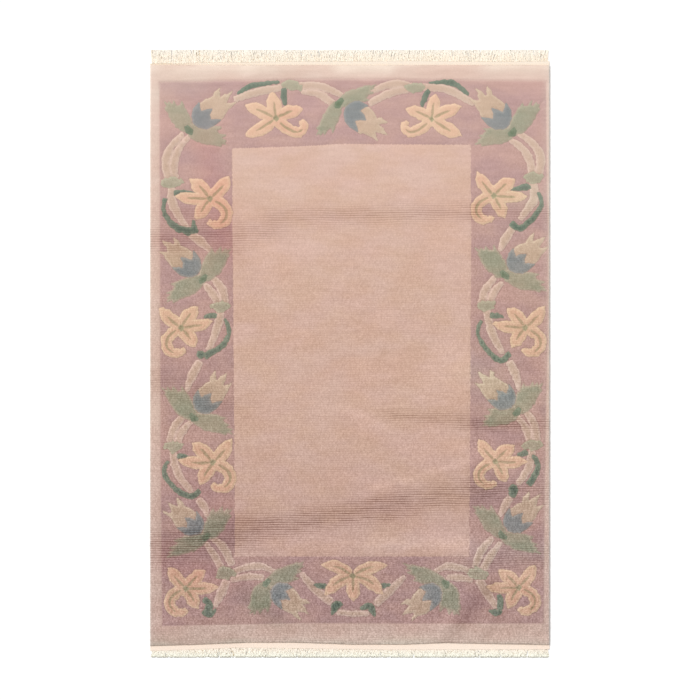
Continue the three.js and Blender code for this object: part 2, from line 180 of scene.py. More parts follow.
# A leaf in shares of its length and of half its width, the side towards the bud's cup first and fuller. It
# ends in a ragged slant with its point on the far side.
LEAF = [
    (-0.06, 0), (-0.04, -0.6), (0.06, -0.96), (0.18, -1.2), (0.32, -1.38), (0.46, -1.5), (0.6, -1.56),
    (0.78, -1.7), (0.7, -1.2), (0.76, -0.94), (0.95, -0.96), (0.86, -0.5), (1.02, -0.44), (0.96, -0.14),
    (1.12, 0.12), (0.92, 0.2), (0.92, 0.52), (0.76, 0.6), (0.6, 0.76), (0.46, 0.92), (0.32, 0.88),
    (0.18, 0.76), (0.04, 0.5),
]
# A petal in shares of its length and of half its width, its blunt tip off to one side.
PETAL = [
    (0, -0.74), (0.14, -0.84), (0.3, -0.94), (0.46, -1), (0.6, -0.98), (0.74, -0.84), (0.86, -0.58),
    (0.96, -0.24), (1.05, 0.12), (0.96, 0.42), (0.86, 0.7), (0.74, 0.9), (0.58, 1), (0.42, 0.96),
    (0.24, 0.88), (0.08, 0.78),
]
# The petals of each kind of flower, from its heart: tip, half the width, how far each bows to its left, and
# the side that its tip slants to.
PETALS = {
    "side": table("tip half bow slant", [
        ((-19, 19), 7.4, -1, 1),
        ((18.5, 21.5), 7.2, -0.8, 1),
        ((-33, 1), 6.2, 0.6, -1),
        ((-11.5, -21), 7.4, -1, -1),
    ]),
    "top": table("tip half bow slant", [
        ((-3, 25), 7.2, 0, 1),
        ((26, 10.5), 6.6, 1, -1),
        ((-30, 12.5), 6.8, -1, -1),
        ((-30, -18), 7.2, 1, -1),
    ]),
    "star": table("tip half bow slant", [
        ((-31, 11), 6.4, -3.4, -1),
        ((33, 10), 6.4, 3.4, 1),
        ((-27, -19), 6.6, -4, -1),
        ((29, -18), 6.8, 4.6, 1),
        ((0.5, -24.5), 6.8, 0, 1),
    ]),
}
# The petal that curls back to its neighbour, where a flower has one, as a path and half its width.
CURLS = {
    "side": ([(0, 0), (9.5, -4), (16, -10.5), (16.5, -18.5), (10.5, -24.5), (3, -24.5), (-1, -21)],
             (6.2, 6, 2.8)),
    "top": ([(0, -1), (10, -9), (18.5, -13.5), (25.5, -12.5), (28.5, -6.5), (24, -3)], (6.2, 5.6, 2.6)),
}
HEART = [
    (-3.4, 0.8), (-1.6, 2), (0, 3.6), (1.8, 2.2), (3.4, 0.4), (2.2, -1.6), (0.4, -3.8), (-1.4, -2.4),
    (-2.8, -1.2),
]
# The veins of the petals: where they run, in shares of a petal's length, half their width, and their step.
VEIN_SHARES = np.linspace(0.1, 0.66, 5)
VEIN_HALF = (1.3, 1.3, 0.6)
VEIN_STEP = 4
# Where the flowers and the buds are and how they are turned, in degrees, and for each leaf of a bud its tip
# and half its width.
FLOWER_PLACES = table("chart at mirror turn size", [
    ("top", (-74, 235.5), 1, 0, 1),
    ("top", (82, 235), -1, 0, 0.97),
    ("side", (-140, 155), 1, -2, 1.02),
    ("side", (144, 158), -1, -4, 0.98),
    ("side", (-169, 26), -1, 8, 0.98),
    ("side", (175.5, 26), 1, -4, 0.98),
    ("side", (-137, -109), 1, 0, 1.03),
    ("side", (145.5, -108), -1, -2, 0.95),
    ("side", (-164, -235), -1, 0, 0.96),
    ("star", (3, -222.5), 1, 0, 1),
    ("side", (169, -234), 1, 2, 0.95),
])
BUD_PLACES = table("at turn mirror size leaves", [
    ((-162, 223), 41, 1, 1, [(-22, 28, 8), (38, -13, 8.6)]),
    ((-12, 251), -33, 1, 1, [(36, 17, 6.4), (-20, -31, 7)]),
    ((163, 220), 130, -1, 1, [(27, 30, 8.6), (-35, -9, 7.8)]),
    ((-146, 74), 137, -1, 0.97, [(25, 30, 8.8), (-36, -21, 8)]),
    ((154, 78), 43, 1, 0.95, [(-26, 26, 8.8), (41, -14, 7.8)]),
    ((-157, -65), 53, 1, 0.96, [(-28, 29, 8.6), (38, -14, 7.6)]),
    ((168, -59), 135, -1, 0.94, [(23, 28, 8.4), (-34, -12, 8)]),
    ((-143, -184), 139, -1, 0.9, [(23, 27, 8.8), (-37, -18, 7.4)]),
    ((152, -183), 47, 1, 0.96, [(-27, 29, 7.8), (36, -15, 7.4)]),
    ((-84, -229), -37, 1, 0.9, [(36, 19, 7.2), (-15, -30, 9.4)]),
    ((97, -230), 216, -1, 0.92, [(-40, 18, 6.8), (11, -30, 9.4)]),
])
# Bands along a path, with half the width at its start, middle and end.
RIBBONS = table("path half", [
    ([(-168, 219), (-180, 205), (-184, 190), (-181, 176)], (2, 3.2, 3)),
    ([(-161, 217), (-171, 205), (-176, 190), (-175, 177)], (1.5, 3, 2.6)),
    ([(-54, 268), (-34, 268), (-22, 265), (-9, 259)], (2.6, 3, 1.8)),
    ([(-47, 262), (-32, 260), (-22, 254), (-16, 249)], (1.6, 3, 2)),
    ([(20, 261), (35, 268), (50, 270), (60, 268)], (1.6, 3, 2.4)),
    ([(21, 251), (34, 258), (48, 263), (60, 264)], (2.2, 3, 2)),
    ([(171, 220), (184, 209), (191, 196), (189, 180)], (2, 3.2, 3)),
    ([(162, 213), (174, 204), (181, 190), (182, 178)], (2, 3, 2.6)),
    ([(-137, 76), (-128, 64), (-125, 51)], (2, 3.4, 2.6)),
    ([(-144, 68), (-137, 60), (-131, 50)], (2, 3, 2.4)),
    ([(144, 75), (136, 64), (132, 52)], (2, 3.2, 2.6)),
    ([(151, 70), (144, 61), (140, 51)], (1.6, 3, 2.4)),
    ([(-166, -62), (-175, -73), (-180, -87)], (2, 3.2, 2.6)),
    ([(-159, -69), (-168, -78), (-172, -89)], (1.6, 3, 2.4)),
    ([(176, -58), (184, -70), (187, -86)], (2, 3.2, 2.6)),
    ([(168, -64), (176, -75), (180, -88)], (1.6, 3, 2.4)),
    ([(-137, -185), (-126, -195), (-119, -210)], (2, 3.2, 2.6)),
    ([(-143, -191), (-135, -203), (-128, -215)], (1.6, 3, 2.6)),
    ([(142, -185), (131, -198), (126, -213)], (2, 3.2, 2.6)),
    ([(150, -190), (141, -202), (134, -215)], (1.6, 3, 2.6)),
    ([(-117, -219), (-104, -214), (-88, -213), (-76, -218)], (2, 3, 1.6)),
    ([(-117, -226), (-102, -223), (-88, -224)], (2, 2.8, 2)),
    ([(122, -218), (108, -214), (96, -213), (86, -218)], (2, 3, 1.6)),
    ([(121, -226), (109, -224), (99, -224)], (2, 2.8, 2)),
    ([(-178, 165), (-178, 153), (-173, 141), (-164, 127)], (2.8, 3.4, 2)),
    ([(-158, 119), (-149, 112), (-139, 103)], (2.6, 3.6, 1.2)),
    ([(-130, 42), (-132, 28), (-141, 5)], (2.6, 3.2, 2)),
    ([(-151, -9), (-158, -22), (-163, -36)], (2.6, 3.4, 1.2)),
    ([(-177, -99), (-172, -120), (-159, -137)], (2.6, 3.2, 2)),
    ([(-151, -147), (-146, -153), (-143, -162)], (2.6, 3.2, 1.2)),
    ([(183, 171), (184, 154), (171, 136)], (2.8, 3.4, 2)),
    ([(162, 124), (155, 114), (151, 104)], (2.6, 3.4, 1.2)),
    ([(137, 42), (142, 22), (152, 2)], (2.6, 3.2, 2)),
    ([(160, -9), (166, -21), (169, -35)], (2.6, 3.4, 1.2)),
    ([(182, -98), (179, -114), (169, -129)], (2.6, 3.2, 2)),
    ([(160, -145), (155, -152), (151, -161)], (2.6, 3.2, 1.2)),
    ([(-114, 255), (-92, 262), (-70, 266)], (2.2, 3, 2.4)),
    ([(72, 267), (98, 264), (123, 251)], (2.4, 3, 2.2)),
    ([(-124, -228), (-129, -240), (-134, -251)], (3, 3.4, 1.6)),
    ([(130, -228), (138, -241), (146, -253)], (3, 3.4, 1.6)),
    ([(-48, -221), (-34, -236), (-20, -248)], (1.6, 3.4, 3)),
    ([(54, -224), (40, -237), (27, -250)], (1.6, 3.4, 2.6)),
    ([(-11, -259), (3, -260), (17, -260)], (2, 2.2, 1.6)),
])
SHEATHS = table("path half", [
    ([(-189, 172), (-179, 171), (-167, 173)], (1.5, 5.5, 1.5)),
    ([(-69, 268), (-58, 269), (-47, 265)], (2.6, 4.4, 1.5)),
    ([(55, 267), (66, 266), (76, 268)], (1.5, 5.2, 2)),
    ([(173, 176), (183, 176), (193, 177)], (1.5, 5.5, 1.5)),
    ([(-139, 48), (-130, 47), (-120, 49)], (1.5, 5.4, 1.5)),
    ([(127, 49), (136, 48), (146, 50)], (1.5, 5.4, 1.5)),
    ([(-187, -92), (-177, -93), (-166, -91)], (1.5, 5.4, 1.5)),
    ([(172, -92), (182, -92), (192, -90)], (1.5, 5.4, 1.5)),
    ([(-134, -223), (-124, -220), (-114, -219)], (2, 6, 2)),
    ([(117, -219), (127, -220), (138, -223)], (2, 6, 2)),
])
TENDRILS = table("path half", [
    ([(-113, 260), (-98, 268), (-70, 272)], (1.2, 3, 1.6)),
    ([(79, 271), (102, 271), (119, 259)], (1, 3.2, 1.6)),
    ([(-185, 156), (-186, 142), (-176, 128), (-158, 121)], (2, 2.6, 4.4)),
    ([(-157, 134), (-156, 127), (-155, 120)], (0.8, 3, 5)),
    ([(-125, 35), (-121, 22), (-128, 8), (-146, -3)], (1.4, 2.6, 3.6)),
    ([(-153, 1), (-149, -1), (-146, -4)], (3, 4.2, 4)),
    ([(-182, -107), (-186, -119), (-176, -134), (-160, -143), (-150, -137)], (1.6, 2.8, 3)),
    ([(188, 162), (192, 151), (186, 139), (171, 126), (161, 131)], (1.6, 2.8, 3.4)),
    ([(132, 33), (128, 21), (136, 5), (151, -7), (160, 1)], (1.6, 2.6, 3)),
    ([(183, -101), (188, -112), (184, -124), (178, -131)], (1.8, 3.2, 3.4)),
    ([(160, -133), (164, -137), (161, -143)], (3.8, 5, 3.4)),
    ([(-147, -245), (-141, -250), (-142, -257), (-147, -261)], (2.4, 3.8, 3)),
    ([(-147, -259), (-140, -261), (-134, -256)], (2, 3.4, 1.4)),
    ([(149, -241), (151, -249), (150, -256)], (3, 3, 3.4)),
    ([(152, -257), (146, -259), (139, -257)], (2.6, 3.4, 1.6)),
    ([(-7, -250), (-14, -252), (-18, -262)], (2, 4.6, 1.4)),
    ([(10, -255), (20, -253), (25, -263)], (1.2, 4.2, 1.4)),
    ([(-66, 266), (-66, 257), (-65, 248)], (2.8, 3.2, 1.6)),
    ([(79, 264), (75, 256), (72, 247)], (2.8, 3.2, 1.6)),
    ([(-177, 161), (-165, 161), (-152, 160)], (3, 2.8, 0.8)),
    ([(181, 167), (171, 166), (161, 164)], (3, 3, 0.9)),
    ([(-133, 38), (-140, 38), (-147, 36)], (3, 3, 1)),
    ([(140, 38), (147, 38), (154, 36)], (3, 3, 1)),
    ([(-173, -103), (-166, -103), (-159, -105)], (3, 3, 1)),
    ([(178, -99), (173, -100), (167, -102)], (3, 3, 1)),
    ([(-36, -231), (-30, -232), (-23, -233)], (1, 2.8, 2.4)),
    ([(41, -231), (35, -232), (29, -233)], (1, 2.8, 2.4)),
])
# How much wider and longer the bands look where their pile fans out over the cut.
RIBBON_FAN = 1.42
RIBBON_REACH = 2.5
SHEATH_FAN = 1.2
# The width of a band's rounded ends, as a share of its own.
BAND_END = 0.55
# How far a knotter's hand strays from the chart, in knots.
STRAY = {
    "ribbon": 0.32, "sheath": 0.9, "leaf": 0.45, "bud": 0.45, "cup": 0.3, "joint": 0.4, "tendril": 0.35,
    "flower": 0.5, "vein": 0.25, "heart": 0.35,
}
# The yarns of the carved motifs, from the one that lies lowest in the pattern to the one on top. The inlaid
# ones are knotted into the flowers and are clipped a little shorter.
CARVED = ("ribbon", "sheath", "leaf", "bud", "cup", "joint", "tendril", "flower")
INLAID = ("vein", "heart")
YARNS = CARVED + INLAID

# Streaks and clouds where the rug bends a little or its dye differs: where each starts and ends and half its
# width, in knots, how far the knot rows open there, how much lighter or darker the pile is painted (painted
# shade and painted highlight along the bends and creases, and lighter or darker dye), how many millimetres it
# dips, and how much redder its dye is.
STREAKS = table("start end half open shade dip warm", [
    ((205, -136), (120, -138), 12, 0.55, 0.015, 0.5, -0.2),
    ((120, -138), (40, -153), 11, 1, -0.055, 0.8, 0),
    ((40, -153), (-108, -179), 11, 1, -0.06, 0.8, 0),
    ((-110, -180), (-184, -194), 14, 1, -0.06, 0.6, 0.1),
    ((-184, -194), (-202, -197), 15, 0.6, 0.02, 0.3, 0),
    ((190, -200), (120, -212), 12, 0.5, 0, 0.2, -0.3),
    ((-80, -188), (30, -190), 7, 0, 0.06, -0.5, 0),
    ((30, -190), (112, -188), 8, 0, 0.13, -0.7, -0.3),
    ((100, -193), (185, -196), 9, 0, 0.1, -0.3, -0.3),
    ((28, -134), (116, -109), 3.5, 0, 0.11, -0.6, 0),
    ((0, -56), (38, -76), 3.5, 0, 0.085, -0.4, 0),
    ((138, -236), (98, -288), 7, 0.1, -0.17, 1.0, 0),
    ((114, -240), (90, -278), 5, 0, 0.1, -0.6, 0),
    ((152, -262), (132, -288), 4, 0, -0.11, 0.6, 0),
    ((132, -214), (165, -219), 11, 0, 0.09, 0, 0),
    ((120, -15), (150, -35), 22, 0, 0.07, 0, -0.4),
    ((128, -98), (185, -130), 14, 0, 0.08, 0, 0),
    ((165, 157), (190, 157), 14, 0, 0.05, 0, -0.4),
    ((-143, 205), (-124, 105), 16, 0, -0.06, 0, 0.55),
    ((-190, 264), (-165, 270), 13, 0, 0.06, 0, -0.4),
    ((-195, 108), (-118, 106), 10, 0.3, -0.05, 0.2, 0.2),
    ((-180, 140), (-130, 136), 10, 0.3, -0.05, 0.2, 0.2),
    ((-142, -142), (-112, -160), 14, 0, -0.05, 0, 0.3),
    ((-166, -214), (-135, -220), 12, 0, -0.07, 0, 0.5),
    ((-100, -246), (-78, -262), 9, 0, -0.1, 0, -0.4),
    ((-85, 281), (-55, 281), 8, 0, -0.07, 0, 0),
    ((20, 284), (205, 282), 9, 0, -0.06, 0, 0.2),
    ((-95, -286), (205, -286), 6.5, 0.1, 0.14, 0, 0),
    ((-98, -214), (-70, -238), 12, 0, 0.08, -0.2, 0),
    ((110, -214), (82, -238), 12, 0, 0.07, -0.2, 0),
    ((-88, 107), (-38, 107), 12, 0, 0.035, 0, 0),
    ((62, -42), (90, -28), 18, 0, 0.045, 0, -0.3),
    ((45, -62), (112, -66), 6, 0.5, -0.05, 0.2, 0),
    ((-70, 136), (112, 141), 9, 0.5, -0.055, 0.4, 0.1),
    ((128, 142), (200, 139), 8, 0.45, -0.015, 0.2, 0.1),
    ((-200, 117), (-85, 122), 10, 0.5, -0.05, 0.4, 0.2),
    ((118, -71), (200, -71), 6, 0.7, -0.05, 0.3, 0),
    ((-195, -26), (-120, -50), 12, 0.3, -0.045, 0.2, 0),
])
# How open the rows are and how rough the cut pile is, from the lower end to the upper end, in knots.
OPEN_EVERYWHERE = [(-290, 0.16), (-200, 0.2), (-100, 0.18), (30, 0.15), (130, 0.06), (190, 0.01)]
ROUGH_EVERYWHERE = [(-280, 1.42), (-100, 1.04), (60, 0.8), (200, 0.38), (285, 0.15)]
# How much rougher than the field the border and the pile outside it are, and how open the rows outside are.
BORDER_ROUGH = 1.36
OUTER_ROUGH = 1.16
OUTER_OPEN = 0.85
# How much of a streak's redder dye shows in the field.
FIELD_WARM = 0.25
# How far a row stays as open as it is, how open it stays on average, how much that changes, and the least.
ROW_RUN = 30
ROW_OPEN = 0.73
ROW_OPEN_CHANGE = 0.7
ROW_OPEN_LEAST = 0.42

# The dyed yarns: the main tone, the tone of its patches and, where it is carved, the tone near its edge.
DYES = {
    "outer": ("e0c8ba", "dcc0b1"),
    "border": ("c9a89e", "be9f9b"),
    "field": ("dec0b2", "dbbba8"),
    "ribbon": ("d5bdaa", "cfb6a2", "e4ccbd"),
    "sheath": ("b9b09a", "a9a891", "c2bda4"),
    "leaf": ("b2a993", "a3a58f", "beb39e"),
    "bud": ("d2bca5", "cab29a", "dcc9b1"),
    "cup": ("999b99", "8a9191", "a6a59f"),
    "joint": ("7e8b77", "728368", "8d9781"),
    "tendril": ("7d8679", "66786a", "8f9986"),
    "flower": ("e6c4a8", "e4bca1", "ebcfb0"),
    "vein": ("b9a688", "b0a080"),
    "heart": ("b0a888", "a8a182"),
}
# How softly one yarn gives way to the next, in millimetres: as a rule, and for the softer ones.
SOFT_EDGE = 0.9
SOFTER = {"field": 1.4, "vein": 2.4, "heart": 2.4}
# The painted highlight on the pale side of the cut pile beside a motif, and how much of it shows beside each
# yarn. The yarns listed also get the painted shade of the clipped line.
CUT_SIDE_HIGHLIGHT = "e2cabc"
PAINTED_EDGE_LIGHT = {"ribbon": 0.15, "sheath": 0.15, "leaf": 0.4, "bud": 0.25, "cup": 0.3, "tendril": 0.25, "flower": 0.2}
# How much of the seams' painted shade shows in the line that is clipped round a motif.
CUT_LINE_SHADE = 0.42
# Ramps, each between two values and with what it gives at both: how crisply the yarns meet by the pile's
# roughness, and how dark the painted shade of the clipped line is by the tone of the fibres.
CRISP = (0.2, 1.2, 0.45, 1)
CUT_FIBRE = (0.35, 0.65, 0.2, 1)
# How soft the border's edge is at the pile's top end and further in, in millimetres.
BORDER_SOFT = (13, 3.5)
# How far single knots stray over the edge of a motif, and over that of the field and the border.
MOTIF_STRAY = 0.9
EDGE_STRAY = 2.2
# Between which depths in a motif a tone sets in: the painted highlight on the pale side of the pile beside
# it, the tone near its edge, and the painted shade of the clipped line, which sets in and fades out again.
BESIDE_HIGHLIGHT = (-4, -1.2)
NEAR_EDGE = (8, 1.5)
LINE_IN = (-2.8, -1)
LINE_OUT = (-0.6, 1.2, 1, 0)
# Where the pile turns paler: towards the top end, the low end and both sides, how far in, in millimetres, how
# much of the paler tone shows at the very edge, and that tone. At the top end it is partly faded wool and
# partly a painted sheen, at the low end a grey-green tone and a paler one at the very edge, and at both sides
# painted light on the rim, which rolls away from the lamp.
PALE_EDGES_AND_PAINTED_LIGHT = [
    ("top", 58, 0.8, "ecddcc"), ("low", 50, 0.5, "d0c6b2"), ("low", 20, 0.6, "e4dccb"),
    ("side", 34, 0.2, "f0e2d6"), ("side", 5.5, 0.85, "ece2d6"),
]
# How much of it shows where it is thinnest and thickest.
CLOUDY = {"top": (0.35, 1.15), "low": (0.25, 1.25)}
# Painted light along the rug, as tints from its lower end to its upper end: darker towards the lower end.
LIGHT_FALLOFF_TINTS = [(0, "dcd6d7"), (0.18, "dfd8d9"), (0.4, "e9e2df"), (0.62, "eee8e5"), (0.86, "f7f3f2"), (1, "fcf9f9")]
# What takes away from the colour: the painted shade in a seam between two rows where it is wide open, and a
# patch of stronger dye, with how much of the latter there is.
SEAM_SHADE = "967468"
STRONGER = "f6ebee"
STRONGER_SHARE = 0.3
# What the least and the most red dye do to a colour, as factors.
LESS_RED, MORE_RED = (0.88, 1.03, 1.0, 1), (1.1, 0.96, 0.99, 1)
# How much lighter and darker the streaks of dye, the specks and the single knots of the pile are.
PILE_STREAKS = 0.1
PILE_SPECKS = 0.3
PILE_KNOTS = 0.16
# How much lighter the stronger dye is, as a ramp, and how much the rounded tops of the knots stand out.
TINT_VALUE = (0.7, 1, 0.995, 1.04)
KNOT_RELIEF = 0.45
# A lighter or darker tone adds a share of the colour raised to this power, which hardly changes its hue.
TONE_POWER = 0.6
TONE_SHARE = 0.72
# How the noise in the dye is stretched, in waves a metre across, along and up the rug, and its detail.
DYE_NOISE = {"Streaks": ((13, 85, 85), 3), "Specks": ((200, 540, 300), 1), "Heather": ((700, 700, 700), 1)}
# The clouds of dye in the same way, and the noise between which they set in.
CLOUDS = {"Patch": ((8, 14, 14), 3, 0.32, 0.68), "Tint": ((5, 9, 9), 2, 0.34, 0.66)}

# Cotton of the woven ends, how heathery it is and how fine its fibres are, in metres.
WEB_TONES = {"top": "f1e4d4", "bottom": "f3e2d3"}
WEB_HEATHER = 0.06
WEB_FIBRE = 0.0009
# Cotton of the strands: two tones, the one towards the tips, the painted shadow where they are cut, and the
# limit above which the noise is a dark fleck of painted shade where the strands part.
STRAND_TONES = {
    "top": {"main": "fff6e6", "second": "fff0dc", "tip": "fff7ea", "cut": "ffffff", "fleck_shade_limit": 0.7},
    "bottom": {"main": "fff4e6", "second": "fbf0e0", "tip": "fbfaec", "cut": "cbc7c1", "fleck_shade_limit": 0.66},
}
STRAND_HEATHER = 0.03
STRAND_FIBRE = 0.0007
# The tan of some strands, the tan of the painted shadow line along the cord, and the dark flecks of painted
# shade where the strands part: their tint, how they lean, how many waves a metre their noise has across and
# along the rug, and how softly they set in.
TAN_STRAND = "e0cba8"
CORD_SHADOW = "c2a886"
FLECK_SHADE = "bdae96"
FLECK_ANGLE = math.radians(35)
FLECKS_PER_METRE = (150, 560, 0)
FLECK_SOFT = 0.05
# The noise that picks the tan strands and the places of the cord's painted shadow, as waves a metre and
# detail, and the values between which the tan and the shadow set in.
TAN_NOISE = (19, 2)
TAN_NOISE_SHARE = 1.3
TAN_FROM = (1.17, 1.22)
CORD_SHADOW_NOISE = (7, 3)
CORD_SHADOW_FROM = (0.46, 0.62)


def turned(points, at=(0, 0), turn=0, mirror=1, size=1):
    """Chart points mirrored about their own Y, turned by degrees, sized and set down, in knots."""
    points = np.asarray(points, float) * (mirror * size, size)
    c, s = math.cos(math.radians(turn)), math.sin(math.radians(turn))
    return points @ np.array([(c, s), (-s, c)]) + at


def spline(path, shares):
    """Points of a smooth curve through a path, at shares from 0 to 1."""
    path = np.asarray(path, float)
    last = len(path) - 1
    place = np.clip(shares, 0, 1) * last
    start = np.minimum(place.astype(int), last - 1)
    t = (place - start)[:, None]
    p0, p1, p2, p3 = (path[np.clip(start + k, 0, last)] for k in (-1, 0, 1, 2))
    curve = p0 - 2.5 * p1 + 2 * p2 - p3 / 2
    bend = 1.5 * (p1 - p2) + (p3 - p0) / 2
    return p1 + t * (p2 - p0) / 2 + t**2 * curve + t**3 * bend


def band(path, half, step=2.2):
    """Outline of a band of changing width along a smooth path, its ends rounded off."""
    length = np.hypot(*np.diff(np.asarray(path, float), axis=0).T).sum()
    shares = np.linspace(0, 1, max(5, round(length / step)) + 1)
    middle = spline(path, shares)
    along = np.gradient(middle, axis=0)
    along /= np.hypot(*along.T)[:, None]
    aside = np.column_stack((-along[:, 1], along[:, 0]))
    wide = np.interp(shares, (0, 0.5, 1), half)
    wide[[0, -1]] *= BAND_END
    return np.vstack((middle - aside * wide[:, None], (middle + aside * wide[:, None])[::-1]))


def reached(path, by):
    """The path, longer by some knots at both ends."""
    path = np.asarray(path, float)
    first, last = path[0] - path[1], path[-1] - path[-2]
    start = path[0] + first / np.hypot(*first) * by
    end = path[-1] + last / np.hypot(*last) * by
    return np.vstack((start, path[1:-1], end))


def left_of(tip):
    """The way to the left of a line from the origin to its tip, one knot long."""
    return np.array((-tip[1], tip[0])) / np.hypot(*tip)


def petal_line(tip, bow, shares):
    """The middle line of a petal that grows from the chart's origin."""
    return np.outer(shares, np.asarray(tip, float)) + np.outer(bow * np.sin(np.pi * shares), left_of(tip))


def petal(tip, half, bow, slant):
    """Outline of a petal from the chart's origin, its tip slanted to one side or the other."""
    along, aside = np.array(PETAL).T
    return petal_line(tip, bow, along) + np.outer(half * slant * aside, left_of(tip))


def leaf(tip, half, hand):
    """Outline of a leaf from the chart's origin to its tip, fuller on one hand or the other."""
    along, aside = np.array(LEAF).T
    return np.outer(along, np.asarray(tip, float)) + np.outer(aside, left_of(tip) * half * hand)


def softened(outline, cut=0.1):
    """A polygon with its corners cut off a little."""
    outline = np.asarray(outline, float)
    after, before = np.roll(outline, -1, 0), np.roll(outline, 1, 0)
    return np.stack((outline + (before - outline) * cut, outline + (after - outline) * cut), 1).reshape(-1, 2)


def divided(outline, step):
    """The outline with its long sides divided, so that no two points are further apart than a step."""
    rows = []
    for start, end in zip(outline, np.roll(outline, -1, 0)):
        parts = max(1, math.ceil(np.hypot(*(end - start)) / step))
        rows += [start + (end - start) * k / parts for k in range(parts)]
    return np.array(rows)


def anticlockwise(outline):
    """A closed outline in the order that has its inside on the left."""
    x, y = np.asarray(outline, float).T
    area = (x * np.roll(y, -1) - np.roll(x, -1) * y).sum()
    return np.asarray(outline, float)[:: 1 if area > 0 else -1]


def bud_shapes(at, turn, mirror, size, leaves):
    """The yarns and outlines of one bud and its leaves, in knots."""
    for yarn, chart in (("bud", BUD_PETALS), ("cup", BUD_CUP), ("joint", BUD_JOINT)):
        yield yarn, turned(softened(np.multiply(chart, (1, mirror))), at, turn, size=size)
    for hand, (x, y, half) in zip((1, -1), leaves):
        yield "leaf", turned(softened(leaf((x, y), half, hand * mirror)), at)


def flower_shapes(chart, **where):
    """The yarns and outlines of one flower, in knots."""
    petals = [petal(**row) for row in PETALS[chart]]
    veins = [petal_line(row["tip"], row["bow"], VEIN_SHARES) for row in PETALS[chart]]
    if chart in CURLS:
        petals.append(band(*CURLS[chart]))
        veins.append(spline(CURLS[chart][0], VEIN_SHARES))
    for outline in petals:
        yield "flower", turned(outline, **where)
    for line in veins:
        yield "vein", turned(band(line, VEIN_HALF, VEIN_STEP), **where)
    yield "heart", turned(HEART, **where)


def border_shapes():
    """The outlines of every motif of the border for each yarn, in millimetres."""
    shapes = {yarn: [] for yarn in YARNS}
    for row in RIBBONS:
        path = reached(row["path"], RIBBON_REACH)
        shapes["ribbon"].append(band(path, np.multiply(row["half"], RIBBON_FAN)))
    for row in SHEATHS:
        shapes["sheath"].append(band(row["path"], np.multiply(row["half"], SHEATH_FAN)))
    for row in TENDRILS:
        shapes["tendril"].append(band(**row))
    for make, places in ((bud_shapes, BUD_PLACES), (flower_shapes, FLOWER_PLACES)):
        for place in places:
            for yarn, outline in make(**place):
                shapes[yarn].append(outline)
    hand = np.random.default_rng(SEEDS["hand"])
    for yarn, outlines in shapes.items():
        strayed = [outline + hand.normal(0, STRAY[yarn], outline.shape) for outline in outlines]
        shapes[yarn] = [anticlockwise(outline) * KNOT for outline in strayed]
    return shapes


def edges():
    """The outlines of the field and the border, in millimetres."""
    return {"field": anticlockwise(FIELD) * KNOT, "border": anticlockwise(BORDER) * KNOT}


def inside_depth(points, outline):
    """How deep each point lies inside a closed outline, and negative outside it."""
    start, run = outline, np.roll(outline, -1, 0) - outline
    offset = points[:, None] - start
    share = np.clip((offset * run).sum(2) / np.maximum((run**2).sum(1), 1e-9), 0, 1)
    gap = np.hypot(*np.moveaxis(offset - share[..., None] * run, 2, 0)).min(1)
    spans = (start[:, 1] > points[:, 1:]) != (np.roll(outline, -1, 0)[:, 1] > points[:, 1:])
    rise = np.where(run[:, 1] == 0, 1e-9, run[:, 1])
    crossing = start[:, 0] + (points[:, 1:] - start[:, 1]) * run[:, 0] / rise
    inside = (spans & (points[:, :1] < crossing)).sum(1) % 2 == 1
    return np.where(inside, gap, -gap)


def depth_in(points, outlines):
    """How deep each point lies inside any of the outlines, between minus and plus the reach."""
    depth = np.full(len(points), -float(REACH))
    for outline in outlines:
        near = ((points >= outline.min(0) - REACH) & (points <= outline.max(0) + REACH)).all(1)
        rows = np.flatnonzero(near)
        for part in np.array_split(rows, 1 + len(rows) * len(outline) // 2_000_000):
            depth[part] = np.maximum(depth[part], inside_depth(points[part], outline))
    return np.clip(depth, -REACH, REACH)


def row_count(x, y):
    """Which row of knots a place is in. The rows run nearly level, with a slow wander."""
    waves = (row["far"] * np.sin(x / row["across"] + y / row["along"] + row["shift"]) for row in WANDER)
    wander = sum(waves)
    return (y + ROW_TILT * x + wander) / ROW_PITCH


def uneven(along, row):
    """A number from 0 to 1 that changes slowly along each row and freely from one row to the next."""
    row = np.round(row).astype(int)
    row -= row.min()
    random = np.random.default_rng(SEEDS["rows"])
    place = (along + 2 * HALF_WIDTH) / ROW_RUN + random.random(row.max() + 1)[row]
    start = np.floor(place).astype(int)
    values = random.random((row.max() + 1, start.max() + 2))
    share = place - start
    share = share * share * (3 - 2 * share)
    return values[row, start] * (1 - share) + values[row, start + 1] * share


def streaks_at(points):
    """How open the rows are, the painted shade and highlight with the dye's lightness and redness, and how
    far the pile dips at each point.
    """
    x, y = points.T
    total = {key: np.zeros(len(points)) for key in ("open", "shade", "dip", "warm")}
    total["open"] += np.interp(y / KNOT, *np.transpose(OPEN_EVERYWHERE))
    for row in STREAKS:
        start, end, half = (np.multiply(row[key], KNOT) for key in ("start", "end", "half"))
        run = end - start
        share = ((points - start) @ run) / (run @ run)
        beyond = np.maximum(0, np.abs(share - 0.5) - 0.5) * np.hypot(*run)
        aside = np.abs((points - start) @ np.array((-run[1], run[0]))) / np.hypot(*run)
        strength = np.exp(-((aside / half) ** 2) - (beyond / (2 * half)) ** 2)
        for key, values in total.items():
            values += row[key] * strength
    broken = ROW_OPEN + ROW_OPEN_CHANGE * (uneven(x, row_count(x, y)) - 0.5)
    total["open"] = np.minimum(total["open"], 1) * np.clip(broken, ROW_OPEN_LEAST, 1)
    return total


def line_at(line, x):
    """Height of one of the lines given in knots, at places given in millimetres."""
    return np.interp(x, *(np.array(line, float).T * KNOT))


